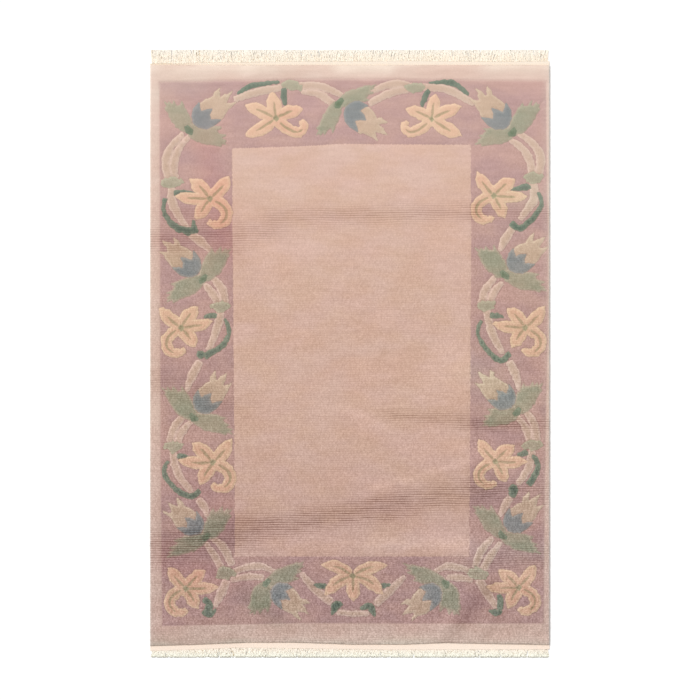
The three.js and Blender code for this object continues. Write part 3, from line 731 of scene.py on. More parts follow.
def pile_marks(points, shapes):
    """Everything the pile's height and colour depend on, at each point, in millimetres."""
    x, y = points.T
    marks = {yarn: depth_in(points, outlines) for yarn, outlines in shapes.items()}
    for name, outline in edges().items():
        marks[name] = depth_in(points, [outline])
    marks["rows"] = row_count(x, y)
    marks["top"] = np.clip(line_at(PILE_END_TOP, x) - y, 0, EDGE_REACH)
    marks["low"] = np.clip(y - line_at(PILE_END_BOTTOM, x), 0, EDGE_REACH)
    marks["side"] = np.clip(HALF_WIDTH - np.abs(x), 0, EDGE_REACH)
    marks["rough"] = np.interp(y / KNOT, *np.transpose(ROUGH_EVERYWHERE))
    marks["rough"] *= np.select([marks["field"] > 0, marks["border"] > 0], [1, BORDER_ROUGH], OUTER_ROUGH)
    marks.update(streaks_at(points))
    marks["open"] *= np.where(marks["border"] < 0, OUTER_OPEN, 1)
    marks["warm"] *= np.where(marks["field"] > 0, FIELD_WARM, 1)
    return marks


def groove(depth, middle, half, deep):
    """A V-shaped cut along a line at some depth inside an outline."""
    return deep * np.clip(1 - np.abs(depth - middle) / half, 0, 1)


def pile_height(points, marks):
    """Height of the carved pile's surface."""
    x, y = points.T
    carved = np.max([marks[yarn] for yarn in CARVED], axis=0)
    height = PILE_HEIGHT + np.interp(carved, *CARVING.T)
    # The line round a motif is cut where it lies over another and nothing lies over it.
    above = np.full(len(points), -float(REACH))
    for yarn in reversed(CARVED):
        overlap = np.clip((carved - marks[yarn]) / OVERLAP_RAMP - OVERLAP_START, 0, 1)
        seen = np.clip(1 - above, 0, 1) * overlap
        height -= seen * groove(marks[yarn], **MOTIF_CUT)
        above = np.maximum(above, marks[yarn])
    inlaid = np.maximum(marks["vein"], marks["heart"])
    height -= np.clip((inlaid + INLAID_SLOPE) / (2 * INLAID_SLOPE), 0, 1) * INLAID_DEPTH
    height -= groove(marks["field"], **EDGE_CUT) + groove(marks["border"], **EDGE_CUT)
    height -= marks["open"] * SEAM_DEPTH * (0.5 + 0.5 * np.cos(2 * np.pi * marks["rows"]))
    end = np.minimum(marks["top"], marks["low"])
    height -= marks["dip"] + np.interp(end, (0, END_DROP_WIDE), (END_DROP, 0))
    # The rug rises and falls a little over its whole length.
    height += sum(
        swell["high"] * np.sin(run / swell["long"] + swell["bend"] * np.sin(over / swell["bend_long"]))
        for swell, (run, over) in zip(SWELLS, ((x, y), (y, x)))
    )
    return height


def rim_line():
    """Points round the pile's outline and the way out at each, longer at the corners."""
    outline = np.vstack((PILE_END_BOTTOM, PILE_END_TOP[::-1])) * KNOT
    corners = {tuple(c) for c in outline[[0, len(PILE_END_BOTTOM) - 1, -2, -1]]}
    points = divided(outline, RIM_STEP)
    side = np.roll(points, -1, 0) - points
    side /= np.hypot(*side.T)[:, None]
    way = side + np.roll(side, 1, 0)
    way /= np.hypot(*way.T)[:, None]
    out = np.column_stack((way[:, 1], -way[:, 0]))
    stretch = [math.sqrt(2) if tuple(p) in corners else 1 for p in points]
    return points, out * np.array(stretch)[:, None]


def lines_along(outlines, depths, step, tolerance=0.5):
    """Points along lines that run at fixed depths inside outlines, where those lines are whole."""
    rows = []
    for outline in outlines:
        points = divided(outline, step)
        side = np.roll(points, -1, 0) - np.roll(points, 1, 0)
        inward = np.column_stack((-side[:, 1], side[:, 0])) / np.hypot(*side.T)[:, None]
        for depth in depths:
            moved = points + inward * depth
            rows.append(moved[np.abs(inside_depth(moved, outline) - depth) < tolerance])
    return np.vstack(rows)


def not_hidden(points, outlines, over, deepest=2.8, covered=-0.2):
    """The points that no motif over them hides, and that aren't deep in another of their own yarn."""
    keep = depth_in(points, outlines) < deepest
    if over:
        keep &= depth_in(points, over) < covered
    return points[keep]


def spaced(groups, nearest):
    """The points of all groups, the first group whole and the others without those near an earlier one."""
    cells, kept = {}, []
    for rank, group in enumerate(groups):
        for x, y in group.tolist():
            i, j = int(x // nearest), int(y // nearest)
            around = (cells.get((i + a, j + b)) for a in (-1, 0, 1) for b in (-1, 0, 1))
            if rank and any(p and (p[0] - x) ** 2 + (p[1] - y) ** 2 < nearest**2 for p in around):
                continue
            cells[i, j] = (x, y)
            kept.append((x, y))
    return np.array(kept)


def inside_rim(points, margin):
    """The points that lie inside the pile's outline by more than a margin."""
    x, y = points.T
    inner = np.minimum(line_at(PILE_END_TOP, x) - y, y - line_at(PILE_END_BOTTOM, x))
    return points[(inner > margin) & (np.abs(x) < HALF_WIDTH - margin)]


def row_lattice():
    """Places on every row of knots and in every seam between two, at each column step."""
    columns = np.arange(-HALF_WIDTH, HALF_WIDTH, COLUMN_STEP) + COLUMN_STEP / 2
    halves = np.arange(-2 * HALF_LENGTH / ROW_PITCH, 2 * HALF_LENGTH / ROW_PITCH)
    x, row = (a.ravel() for a in np.meshgrid(columns, np.round(halves) / 2))
    y = row * ROW_PITCH
    for _ in range(3):
        y = y - (row_count(x, y) - row) * ROW_PITCH
    return np.column_stack((x, y))


def front_points(shapes, ring):
    """Mesh points of the pile's face: its rim, every carved line, and the rows of knots between them."""
    groups = []
    for rank, yarn in enumerate(YARNS):
        over = [outline for higher in CARVED[rank + 1 :] for outline in shapes[higher]]
        depths = (-INLAID_SLOPE, INLAID_SLOPE) if yarn in INLAID else CARVING[:3, 0]
        groups.append(not_hidden(lines_along(shapes[yarn], depths, LINE_STEP), shapes[yarn], over))
    groups.sort(key=len, reverse=True)
    half = EDGE_CUT["half"]
    groups += [lines_along([outline], (0, -half, half), EDGE_STEP) for outline in edges().values()]
    groups.append(row_lattice())
    return spaced([ring] + [inside_rim(group, RIM[0][0] + RIM_CLEAR) for group in groups], NEAREST)


def back_points(shapes, ring):
    """Mesh points of the rug's back: its rim, the motifs' outlines and a wide lattice."""
    groups = [lines_along([outline], (0,), BACK_EDGE_STEP) for outline in edges().values()]
    groups += [lines_along(shapes[yarn], (0,), BACK_LINE_STEP) for yarn in CARVED]
    x, y = np.meshgrid(*(np.arange(-half, half, BACK_STEP) for half in (HALF_WIDTH, HALF_LENGTH)))
    x[1::2] += BACK_STEP / 2
    groups.append(np.column_stack((x.ravel(), y.ravel())))
    return spaced([ring] + [inside_rim(group, RIM[-1][0] + RIM_CLEAR_BACK) for group in groups], NEAREST_BACK)


def triangles_of(points, ring_size):
    """Triangles over points whose first ones are the closed rim round them all."""
    ring = [(k, (k + 1) % ring_size) for k in range(ring_size)]
    found = delaunay_2d_cdt([Vector(p) for p in points.tolist()], ring, [], 0, 1e-7, False)
    corners, faces = np.array(found[0]), np.array(found[2])
    if len(corners) != len(points):
        raise ValueError("the pile's mesh points cross their own rim")
    return faces[depth_in(corners[faces].mean(1), [points[:ring_size]]) > 0]


def linked(name, data):
    """A new object of the scene, at the origin."""
    made = bpy.data.objects.new(name, data)
    bpy.context.scene.collection.objects.link(made)
    return made


def mesh_piece(name, points, faces, marks=None):
    """A mesh object at the origin from points in millimetres, with its marks as attributes."""
    mesh = bpy.data.meshes.new(name)
    mesh.from_pydata((np.asarray(points) * MM).tolist(), [], [tuple(f) for f in faces])
    for key, values in (marks or {}).items():
        mesh.attributes.new(key, "FLOAT", "POINT").data.foreach_set("value", values.astype(np.float32))
    mesh.update()
    return linked(name, mesh)


def wool_rug():
    """The pile on its foundation as one closed mesh: carved face, rounded rim and flat back."""
    shapes = border_shapes()
    line, out = rim_line()
    count = len(line)
    random = np.random.default_rng(SEEDS["rim"])
    insets, levels = zip(*RIM)
    front = front_points(shapes, line - out * insets[0])
    back = back_points(shapes, line - out * insets[-1])
    front_faces = triangles_of(front, count)
    back_faces = triangles_of(back, count)
    rings = [line - out * (inset + random.normal(0, RIM_STRAY, (count, 1))) for inset in insets[1:-1]]
    flat = np.vstack((front, *rings, back))
    marks = pile_marks(flat, shapes)
    height = pile_height(flat, marks)
    at_end = np.minimum(marks["top"], marks["low"])[:count] < END_RIM_WIDE
    lowered = marks["dip"][:count] * RIM_DIP + np.where(at_end, END_RIM_DROP, 0)
    starts = [0] + [len(front) + k * count for k in range(len(RIM) - 1)]
    height[:count] = levels[0] - lowered
    for start, level in zip(starts[1:-1], levels[1:-1]):
        height[start : start + count] = level - lowered * (level / PILE_HEIGHT) ** 2
    height[starts[-1] :] = 0
    step = np.arange(count)
    after = (step + 1) % count
    sides = [np.column_stack((a + step, b + step, b + after, a + after)) for a, b in zip(starts, starts[1:])]
    faces = front_faces.tolist() + np.vstack(sides).tolist() + (back_faces[:, ::-1] + starts[-1]).tolist()
    return mesh_piece("wool_pile_rug", np.column_stack((flat, height)), faces, marks)


class Signal:
    """What a node gives out. A sum, product and so on of signals and numbers is a math node of its own."""

    def __init__(self, made, output=0):
        self.node = made
        self.tree = made.id_data
        self.socket = made.outputs[output]

    def __getitem__(self, output):
        return Signal(self.node, output)

    def __add__(self, other):
        return maths("ADD", self, other)

    def __sub__(self, other):
        return maths("SUBTRACT", self, other)

    def __mul__(self, other):
        return maths("MULTIPLY", self, other)

    def __truediv__(self, other):
        return maths("DIVIDE", self, other)


def feed(made, feeds):
    """Gives a node's inputs values, signals, or a list of signals where an input takes several."""
    for key, value in feeds.items():
        if isinstance(value, Signal):
            value = [value]
        if isinstance(value, list):
            for signal in value:
                made.id_data.links.new(signal.socket, made.inputs[key])
        else:
            made.inputs[key].default_value = value


def node(tree, kind, feeds=None, **settings):
    """The signal of a new node with its properties set and its inputs fed."""
    made = tree.nodes.new(kind)
    for key, value in settings.items():
        setattr(made, key, value)
    feed(made, feeds or {})
    return Signal(made)


def placed(tree, group, feeds):
    """The signal of a node group set into a tree."""
    kind = {"ShaderNodeTree": "ShaderNodeGroup", "GeometryNodeTree": "GeometryNodeGroup"}[tree.bl_idname]
    return node(tree, kind, feeds, node_tree=group)


def tree_of(*values):
    """The node tree of the first signal among some values."""
    return next(value.tree for value in values if isinstance(value, Signal))


def maths(operation, *values, clamp=False):
    """A function of signals and numbers, by its name in the math node."""
    feeds = dict(enumerate(values))
    return node(tree_of(*values), "ShaderNodeMath", feeds, operation=operation, use_clamp=clamp)


def vector_maths(operation, first, second):
    """A colour or place changed by another, or by a number where it is scaled."""
    feeds = {0: first, "Scale" if operation == "SCALE" else 1: second}
    return node(tree_of(first, second), "ShaderNodeVectorMath", feeds, operation=operation)


def xyz(x=0, y=0, z=0):
    """A place put together from signals and numbers."""
    return node(tree_of(x, y, z), "ShaderNodeCombineXYZ", {0: x, 1: y, 2: z})


def parts(place):
    """The three numbers of a place."""
    return node(place.tree, "ShaderNodeSeparateXYZ", {0: place})


def noise(place, scale, detail):
    """Soft noise from 0 to 1."""
    return node(place.tree, "ShaderNodeTexNoise", {"Vector": place, "Scale": scale, "Detail": detail})


def ranged(value, low, high, to_low=0, to_high=1, smooth=False):
    """A value carried from one range to another."""
    feeds = {"Value": value, 1: low, 2: high, 3: to_low, 4: to_high}
    kind = "SMOOTHSTEP" if smooth else "LINEAR"
    return node(value.tree, "ShaderNodeMapRange", feeds, interpolation_type=kind)


def mixed(factor, low, high, blend="MIX"):
    """The second colour over the first, by a factor."""
    feeds = {0: factor, 6: low, 7: high}
    return node(tree_of(factor, low), "ShaderNodeMix", feeds, data_type="RGBA", blend_type=blend)[2]


def toned(colour, value):
    """The colour made lighter or darker by a value round 1, with hardly a change of its hue."""
    pale = node(colour.tree, "ShaderNodeGamma", {0: colour, "Gamma": TONE_POWER})
    return vector_maths("ADD", colour, vector_maths("SCALE", pale, (value - 1) * TONE_SHARE))


def mark(tree, name):
    """The numbers that a mesh carries under a name."""
    return node(tree, "ShaderNodeAttribute", attribute_name=name)["Fac"]


def wool(code):
    """A dyed colour as the eye reads it, six hexadecimal digits, as a linear one."""
    shares = [int(code[k : k + 2], 16) / 255 for k in (0, 2, 4)]
    return tuple(c / 12.92 if c <= 0.04045 else ((c + 0.055) / 1.055) ** 2.4 for c in shares) + (1,)


def grown(name, kind, inputs, outputs):
    """A node group with named inputs and outputs: the group, what comes in, and the node it leaves by."""
    tree = bpy.data.node_groups.new(name, kind)
    for label, (socket, default) in inputs.items():
        made = tree.interface.new_socket(label, in_out="INPUT", socket_type="NodeSocket" + socket)
        if default is not None:
            made.default_value = default
    for label, socket in outputs.items():
        tree.interface.new_socket(label, in_out="OUTPUT", socket_type="NodeSocket" + socket)
    return tree, node(tree, "NodeGroupInput"), tree.nodes.new("NodeGroupOutput")


def knot_grain():
    """Rows and columns of knots: a number for each knot, its rounded top, and the gap between rows."""
    tree, entry, leave = grown("Knot grain", "ShaderNodeTree", {
        "Position": ("Vector", None), "Rows": ("Float", 0), "Column Pitch": ("Float", COLUMN_PITCH * MM),
    }, {"Random": "Float", "Top": "Float", "Gap": "Float"})
    row = entry["Rows"]
    column = parts(entry["Position"])[0] / entry["Column Pitch"]
    knot = xyz(maths("FLOOR", column), maths("FLOOR", row))
    tops = [maths("POWER", maths("SINE", maths("FRACT", count) * math.pi), 0.5) for count in (row, column)]
    between = ranged(maths("COSINE", row * (2 * math.pi)), -1, 1)
    feed(leave, {
        "Random": node(tree, "ShaderNodeTexWhiteNoise", {0: knot}, noise_dimensions="3D"),
        "Top": tops[0] * tops[1],
        "Gap": maths("POWER", between, 3),
    })
    return tree


def yarn_edge():
    """Where a yarn starts, uneven by a knot here and there, from how deep a place lies in its motif."""
    tree, entry, leave = grown("Yarn edge", "ShaderNodeTree", {
        "Depth": ("Float", 0), "Wander": ("Float", 0), "Softness": ("Float", 0.8),
    }, {"Mask": "Float"})
    depth = entry["Depth"] + entry["Wander"]
    feed(leave, {"Mask": ranged(depth, entry["Softness"] * -1, entry["Softness"], smooth=True)})
    return tree


def fibre_tone():
    """Uneven dye and fibres: streaks along the rows, specks of single knots and fine heather, round 1."""
    tree, entry, leave = grown("Fibre tone", "ShaderNodeTree", {
        "Position": ("Vector", None), "Streaks": ("Float", 0.08), "Specks": ("Float", 0.25),
        "Heather": ("Float", 0.12), "Fibre Size": ("Float", 0.0012),
    }, {"Tone": "Float", "Patch": "Float", "Tint": "Float", "Fibre": "Float"})

    def cloud(stretch, detail):
        """Noise with its waves stretched by the rug's own directions."""
        return noise(vector_maths("MULTIPLY", entry["Position"], stretch), 1, detail)

    tone = 1
    for label, (stretch, detail) in DYE_NOISE.items():
        tone = (cloud(stretch, detail) - 0.5) * 2 * entry[label] + tone
    for label, (stretch, detail, low, high) in CLOUDS.items():
        feed(leave, {label: ranged(cloud(stretch, detail), low, high, smooth=True)})
    fibre = noise(entry["Position"], maths("DIVIDE", 1, entry["Fibre Size"]), 2)
    feed(leave, {"Tone": tone, "Fibre": fibre})
    return tree


def painted_light_falloff():
    """Painted light that falls off: the colour grows a little darker and slightly tinted from the end with
    the longer fringe to the other.
    """
    tree, entry, leave = grown("Painted light falloff", "ShaderNodeTree", {
        "Position": ("Vector", None), "Colour": ("Color", None), "Strength": ("Float", 1),
    }, {"Colour": "Color"})
    ramp = node(tree, "ShaderNodeValToRGB", {0: ranged(parts(entry["Position"])[1], -0.9, 0.9)})
    stops = ramp.node.color_ramp.elements
    for place, _ in LIGHT_FALLOFF_TINTS[1:-1]:
        stops.new(place)
    for stop, (place, tint) in zip(stops, LIGHT_FALLOFF_TINTS):
        stop.position = place
        stop.color = wool(tint)
    feed(leave, {"Colour": mixed(entry["Strength"], entry["Colour"], ramp, "MULTIPLY")})
    return tree


def new_material(name):
    """A material, its node tree, its shader, and the place on the object that textures go by."""
    material = bpy.data.materials.new(name)
    material.use_nodes = True
    tree = material.node_tree
    return material, tree, tree.nodes["Principled BSDF"], node(tree, "ShaderNodeTexCoord")["Object"]


def pile_colour(tree, tone, stray, rough):
    """The colour of the dyed yarns, each laid over the ones before it, with painted shade in the lines
    clipped between and a painted highlight beside them.
    """
    # The yarns meet more crisply towards the lower end, where the pile is rougher.
    crisp = ranged(rough, *CRISP)
    cut = crisp * ranged(tone["Fibre"], *CUT_FIBRE) * CUT_LINE_SHADE
    softness = {**SOFTER, "border": ranged(mark(tree, "top"), 0, EDGE_REACH, *BORDER_SOFT)}
    motif_wander, edge_wander = stray * MOTIF_STRAY, stray * EDGE_STRAY
    colour = mixed(tone["Patch"], *map(wool, DYES["outer"]))
    for yarn in ("border", "field", *YARNS):
        main, second, *rim = map(wool, DYES[yarn])
        depth = mark(tree, yarn)
        mask = placed(tree, EDGE, {
            "Depth": depth, "Wander": motif_wander if yarn in YARNS else edge_wander,
            "Softness": softness.get(yarn, SOFT_EDGE),
        })
        dyed = mixed(tone["Patch"], main, second)
        # A painted highlight on the pale side of the cut pile beside the motif.
        if yarn in PAINTED_EDGE_LIGHT:
            beside_highlight = ranged(depth, *BESIDE_HIGHLIGHT, 0, PAINTED_EDGE_LIGHT[yarn], smooth=True) * crisp
            colour = mixed(beside_highlight, colour, wool(CUT_SIDE_HIGHLIGHT))
        if yarn in CARVED:
            dyed = mixed(ranged(depth, *NEAR_EDGE, smooth=True) * crisp, dyed, *rim)
        colour = mixed(mask, colour, dyed)
        if yarn in PAINTED_EDGE_LIGHT:
            # Painted shade in the line clipped round the motif.
            line = maths("MINIMUM", ranged(depth, *LINE_IN), ranged(depth, *LINE_OUT))
            colour = mixed(line * cut, colour, wool(SEAM_SHADE), "MULTIPLY")
    return colour


def tinted_and_lit(tree, position, colour, tone):
    """The colour with redder and stronger patches, paler towards the rug's edges partly by painted light, and
    darkened along the rug by painted light towards the lower end.
    """
    warmth = ranged(mark(tree, "warm"), -1, 1)
    colour = mixed(1, colour, mixed(warmth, LESS_RED, MORE_RED), "MULTIPLY")
    colour = mixed(tone["Tint"] * STRONGER_SHARE, colour, wool(STRONGER), "MULTIPLY")
    # Paler towards the edges: painted light on the rim at both sides, and partly a painted sheen at the top
    # end.
    for name, reach, share, pale in PALE_EDGES_AND_PAINTED_LIGHT:
        near = ranged(mark(tree, name), 0, reach, share, 0, smooth=True)
        if name in CLOUDY:
            near = maths("MULTIPLY", near, ranged(tone["Tint"], 0, 1, *CLOUDY[name]), clamp=True)
        colour = mixed(near, colour, wool(pale))
    # Painted light falling off towards the lower end.
    return placed(tree, PAINTED_LIGHT_FALLOFF, {"Position": position, "Colour": colour})


def pile_wool():
    """Cut and carved wool, dyed by the motif that each knot belongs to."""
    material, tree, shader, position = new_material("carved_wool_pile")
    rough = mark(tree, "rough")
    grain = placed(tree, GRAIN, {"Position": position, "Rows": mark(tree, "rows")})
    tone = placed(tree, TONE, {"Position": position, "Streaks": PILE_STREAKS, "Specks": rough * PILE_SPECKS})
    stray = grain["Random"] - 0.5
    colour = tinted_and_lit(tree, position, pile_colour(tree, tone, stray, rough), tone)
    # The streaks' shade is painted shade and painted highlight along the rug's bends and creases, together
    # with lighter and darker dye.
    value = (stray * PILE_KNOTS * rough + 1) * tone["Tone"] * (mark(tree, "shade") + 1)
    value = value * ranged(tone["Tint"], *TINT_VALUE)
    # Painted shade in the seams between rows of knots, where they are open.
    seam_shade = maths("MULTIPLY", grain["Gap"], mark(tree, "open"), clamp=True)
    height = grain["Top"] * (rough * KNOT_RELIEF) + tone["Fibre"]
    bump = {"Height": height, "Strength": 0.5, "Distance": 0.0008}
    feed(shader, {
        "Base Color": mixed(seam_shade, toned(colour, value), wool(SEAM_SHADE), "MULTIPLY"),
        "Normal": node(tree, "ShaderNodeBump", bump),
        "Roughness": 0.95, "Specular IOR Level": 0.15, "Sheen Weight": 0.12, "Sheen Roughness": 0.6,
    })
    return material


def strand_colour(tree, position, main, second, tip, cut, fleck_shade_limit):
    """The strands of the fringe and the cord at their roots: a tone for each strand, some of them tan, their
    tips, a painted shadow along the cord and at the cut, and dark flecks of painted shade where they part."""
    strand = mark(tree, "strand")
    away = maths("ABSOLUTE", parts(position)[1])
    colour = mixed(strand, wool(main), wool(second))
    near_tip = ranged(away, (HALF_LENGTH - TIP_FROM) * MM, (HALF_LENGTH - TIP_TO) * MM)
    colour = mixed(near_tip, colour, wool(tip))
    tan = strand + (noise(position, *TAN_NOISE) - 0.5) * TAN_NOISE_SHARE
    colour = mixed(ranged(tan, *TAN_FROM), colour, wool(TAN_STRAND))
    # A painted shadow line along the cord at the strands' roots.
    cord_shadow = mark(tree, "cord") * ranged(noise(position, *CORD_SHADOW_NOISE), *CORD_SHADOW_FROM)
    colour = mixed(cord_shadow, colour, wool(CORD_SHADOW))
    # Dark flecks of painted shade where the strands part.
    turn = {"Vector": position, "Angle": FLECK_ANGLE}
    aslant = node(tree, "ShaderNodeVectorRotate", turn, rotation_type="Z_AXIS")
    fleck = noise(vector_maths("MULTIPLY", aslant, FLECKS_PER_METRE), 1, 0)
    colour = mixed(ranged(fleck, fleck_shade_limit, fleck_shade_limit + FLECK_SOFT), colour, wool(FLECK_SHADE), "MULTIPLY")
    # A painted shadow along the cut edge of the strands.
    cut_edge_shadow = ranged(away, (HALF_LENGTH - CUT_SHADOW_FROM) * MM, (HALF_LENGTH - CUT_SHADOW_TO) * MM)
    return mixed(cut_edge_shadow, colour, wool(cut), "MULTIPLY")


def cotton(name, heather, fibre, plain=None, strands=None):
    """Undyed or barely dyed cotton, in one plain tone or in the tones of strands."""
    material, tree, shader, position = new_material(name)
    tone = placed(tree, TONE, {
        "Position": position, "Streaks": 0.02, "Specks": 0.06, "Heather": heather, "Fibre Size": fibre,
    })
    colour = strand_colour(tree, position, **strands) if strands else wool(plain)[:3]
    bump = {"Height": tone["Fibre"], "Strength": 0.4, "Distance": 0.0004}
    feed(shader, {
        "Base Color": vector_maths("SCALE", colour, tone["Tone"]),
        "Normal": node(tree, "ShaderNodeBump", bump),
        "Roughness": 0.9, "Specular IOR Level": 0.2,
    })
    return material


def ply_tree():
    """A twisted strand of two plies along +Y, from the origin."""
    tree, entry, leave = grown("Twisted strand", "GeometryNodeTree", {
        "Length": ("Float", 0.02), "Turns": ("Float", 3), "Radius": ("Float", 0.0008), "Steps": ("Int", 6),
        "Taper": ("Float", 0.5),
    }, {"Geometry": "Geometry"})
    line = node(tree, "GeometryNodeCurvePrimitiveLine", {"End": xyz(y=entry["Length"])})
    line = node(tree, "GeometryNodeResampleCurve", {"Curve": line, "Count": entry["Steps"]})
    share = node(tree, "GeometryNodeSplineParameter")["Factor"]
    angle = share * entry["Turns"] * (2 * math.pi)
    aside = xyz(maths("COSINE", angle) * entry["Radius"], 0, maths("SINE", angle) * entry["Radius"])
    wound = node(tree, "GeometryNodeSetPosition", {"Geometry": line, "Offset": aside})
    slim = maths("SUBTRACT", 1, maths("POWER", share, 5) * entry["Taper"])
    sized = node(tree, "GeometryNodeSetCurveRadius", {"Curve": wound, "Radius": slim})
    ring = node(tree, "GeometryNodeCurvePrimitiveCircle", {"Resolution": 4, "Radius": entry["Radius"]})
    ply = node(tree, "GeometryNodeCurveToMesh", {"Curve": sized, "Profile Curve": ring, "Fill Caps": True})
    other = node(tree, "GeometryNodeTransform", {"Geometry": ply, "Rotation": (0, math.pi, 0)})
    feed(leave, {"Geometry": node(tree, "GeometryNodeJoinGeometry", {0: [ply, other]})})
    return tree


def random_value(tree, low, high, seed):
    """A random number, or three, for each strand."""
    kind, first, output = ("FLOAT_VECTOR", 0, 0) if isinstance(low, tuple) else ("FLOAT", 2, 1)
    feeds = {first: low, first + 1: high, "Seed": seed}
    return node(tree, "FunctionNodeRandomValue", feeds, data_type=kind)[output]


def strand_layer(tree, entry, ply, count, seed, lift):
    """One layer of strands side by side, each with its own lean, length and tone."""
    pitch = entry["Width"] / count
    roots = node(tree, "GeometryNodeMeshLine", {
        "Count": count, "Start Location": xyz((entry["Width"] - pitch) * -0.5, 0, lift), "Offset": xyz(pitch),
    })
    stray = random_value(tree, *ROOT_STRAY, seed)
    roots = node(tree, "GeometryNodeSetPosition", {"Geometry": roots, "Offset": stray})
    drift = noise(node(tree, "GeometryNodeInputPosition"), 24, 1)
    lean = (drift - 0.5) * (entry["Lean"] * 2.4) + random_value(tree, -0.5, 0.5, seed + 1) * entry["Lean"]
    roll = random_value(tree, 0, 2 * math.pi, seed + 2)
    long = ranged(drift, 0.7, 0.78, 1, entry["Shortest"]) * random_value(tree, 0.99, 1.06, seed + 3)
    stems = node(tree, "GeometryNodeInstanceOnPoints", {
        "Points": roots, "Instance": ply, "Rotation": xyz(0, roll, lean), "Scale": xyz(1, long, 1),
    })
    return node(tree, "GeometryNodeStoreNamedAttribute", {
        "Geometry": stems, "Name": "strand", "Value": random_value(tree, 0, 1, seed + 4),
    }, data_type="FLOAT", domain="INSTANCE")


def fringe_tree():
    """Two layers of twisted warp ends and the cord of wefts that holds their roots."""
    tree, entry, leave = grown("Fringe", "GeometryNodeTree", {
        "Width": ("Float", 1.2), "Length": ("Float", 0.02), "Under": ("Int", 430), "Over": ("Int", 400),
        "Radius": ("Float", 0.0008), "Lean": ("Float", 0.3), "Curl": ("Float", 0.003),
        "Shortest": ("Float", 0.75), "Material": ("Material", None),
    }, {"Geometry": "Geometry"})
    radius = entry["Radius"]
    strand = placed(tree, PLIES, {"Length": entry["Length"], "Radius": radius, "Turns": STRAND_TURNS})
    joined = node(tree, "GeometryNodeJoinGeometry", {0: [
        strand_layer(tree, entry, strand, entry["Under"], SEEDS["under"], radius * 2.05),
        strand_layer(tree, entry, strand, entry["Over"], SEEDS["over"], radius * 3.2),
    ]})
    real = node(tree, "GeometryNodeRealizeInstances", {"Geometry": joined})
    where = node(tree, "GeometryNodeInputPosition")
    share = maths("DIVIDE", parts(where)[1], entry["Length"], clamp=True)
    swing = (noise(where, 95, 1) - 0.5) * (entry["Curl"] * 2)
    curled = node(tree, "GeometryNodeSetPosition", {"Geometry": real, "Offset": xyz(swing * share)})
    cord = placed(tree, PLIES, {
        "Length": entry["Width"], "Turns": CORD_TURNS, "Radius": CORD_RADIUS * MM,
        "Steps": CORD_TURNS * CORD_STEPS + 1, "Taper": 0,
    })
    across = node(tree, "GeometryNodeTransform", {"Geometry": cord, "Rotation": (0, 0, -math.pi / 2)})
    start = xyz(entry["Width"] * -0.5, 0.0012, radius * 2.4)
    laid = node(tree, "GeometryNodeTransform", {"Geometry": across, "Translation": start})
    marked = node(tree, "GeometryNodeStoreNamedAttribute", {
        "Geometry": laid, "Name": "cord", "Value": 1,
    }, data_type="FLOAT", domain="POINT")
    whole = node(tree, "GeometryNodeJoinGeometry", {0: [curled, marked]})
    dressed = node(tree, "GeometryNodeSetMaterial", {"Geometry": whole, "Material": entry["Material"]})
    feed(leave, {"Geometry": dressed})
    return tree


def weave_tree():
    """A closed flat-woven strip: wefts that pass over and under the warps, in rows across its width."""
    tree, entry, leave = grown("Flat weave", "GeometryNodeTree", {
        "Width": ("Float", 1.22), "Length": ("Float", 0.012), "Thickness": ("Float", 0.0026),
        "Warp Pitch": ("Float", 0.003), "Weft Pitch": ("Float", 0.002), "Crimp": ("Float", 0.0004),
        "Material": ("Material", None),
    }, {"Geometry": "Geometry"})
    width, length = entry["Width"], entry["Length"]
    block = node(tree, "GeometryNodeMeshCube", {
        "Size": xyz(width, length, entry["Thickness"]),
        "Vertices X": maths("ROUND", width * 2 / entry["Warp Pitch"]) + 1,
        "Vertices Y": maths("ROUND", length * 2 / entry["Weft Pitch"]) + 1,
    })
    x, y, z = parts(node(tree, "GeometryNodeInputPosition"))
    warp = x / entry["Warp Pitch"] * math.pi
    weft = (y + length * 0.5) / entry["Weft Pitch"]
    over = maths("COSINE", warp + maths("FLOOR", weft + 0.01) * math.pi)
    dome = maths("ABSOLUTE", maths("SINE", weft * math.pi))
    rise = (over * 0.5 + dome) * entry["Crimp"]
    lift = xyz(0, 0, rise * maths("GREATER_THAN", z, 0))
    woven = node(tree, "GeometryNodeSetPosition", {"Geometry": block, "Offset": lift})
    dressed = node(tree, "GeometryNodeSetMaterial", {"Geometry": woven, "Material": entry["Material"]})
    feed(leave, {"Geometry": dressed})
    return tree


def made_by(tree, name, **inputs):
    """The plain mesh that a node tree makes, as an object at the origin."""
    holder = linked(name + "_maker", bpy.data.meshes.new(name + "_maker"))
    modifier = holder.modifiers.new("make", "NODES")
    modifier.node_group = tree
    sockets = {s.name: s.identifier for s in tree.interface.items_tree if s.in_out == "INPUT"}
    for key, value in inputs.items():
        modifier[sockets[key.replace("_", " ").title()]] = value
    graph = bpy.context.evaluated_depsgraph_get()
    mesh = bpy.data.meshes.new_from_object(holder.evaluated_get(graph))
    bpy.data.objects.remove(holder)
    mesh.name = name
    return linked(name, mesh)


def lay_between(piece, near, far, way, length):
    """Moves a strip made along +Y from y = 0 so that it runs from one line of the rug's end to another."""
    mesh = piece.data
    points = np.empty(len(mesh.vertices) * 3, np.float32)
    mesh.vertices.foreach_get("co", points)
    points = points.reshape(-1, 3).astype(float) / MM
    x = points[:, 0] * way
    start, end = line_at(near, x) + way * GAP, line_at(far, x)
    points = np.column_stack((x, start + (end - start) * (points[:, 1] / length), points[:, 2])) * MM
    mesh.vertices.foreach_set("co", points.astype(np.float32).ravel())
    mesh.update()
    return piece


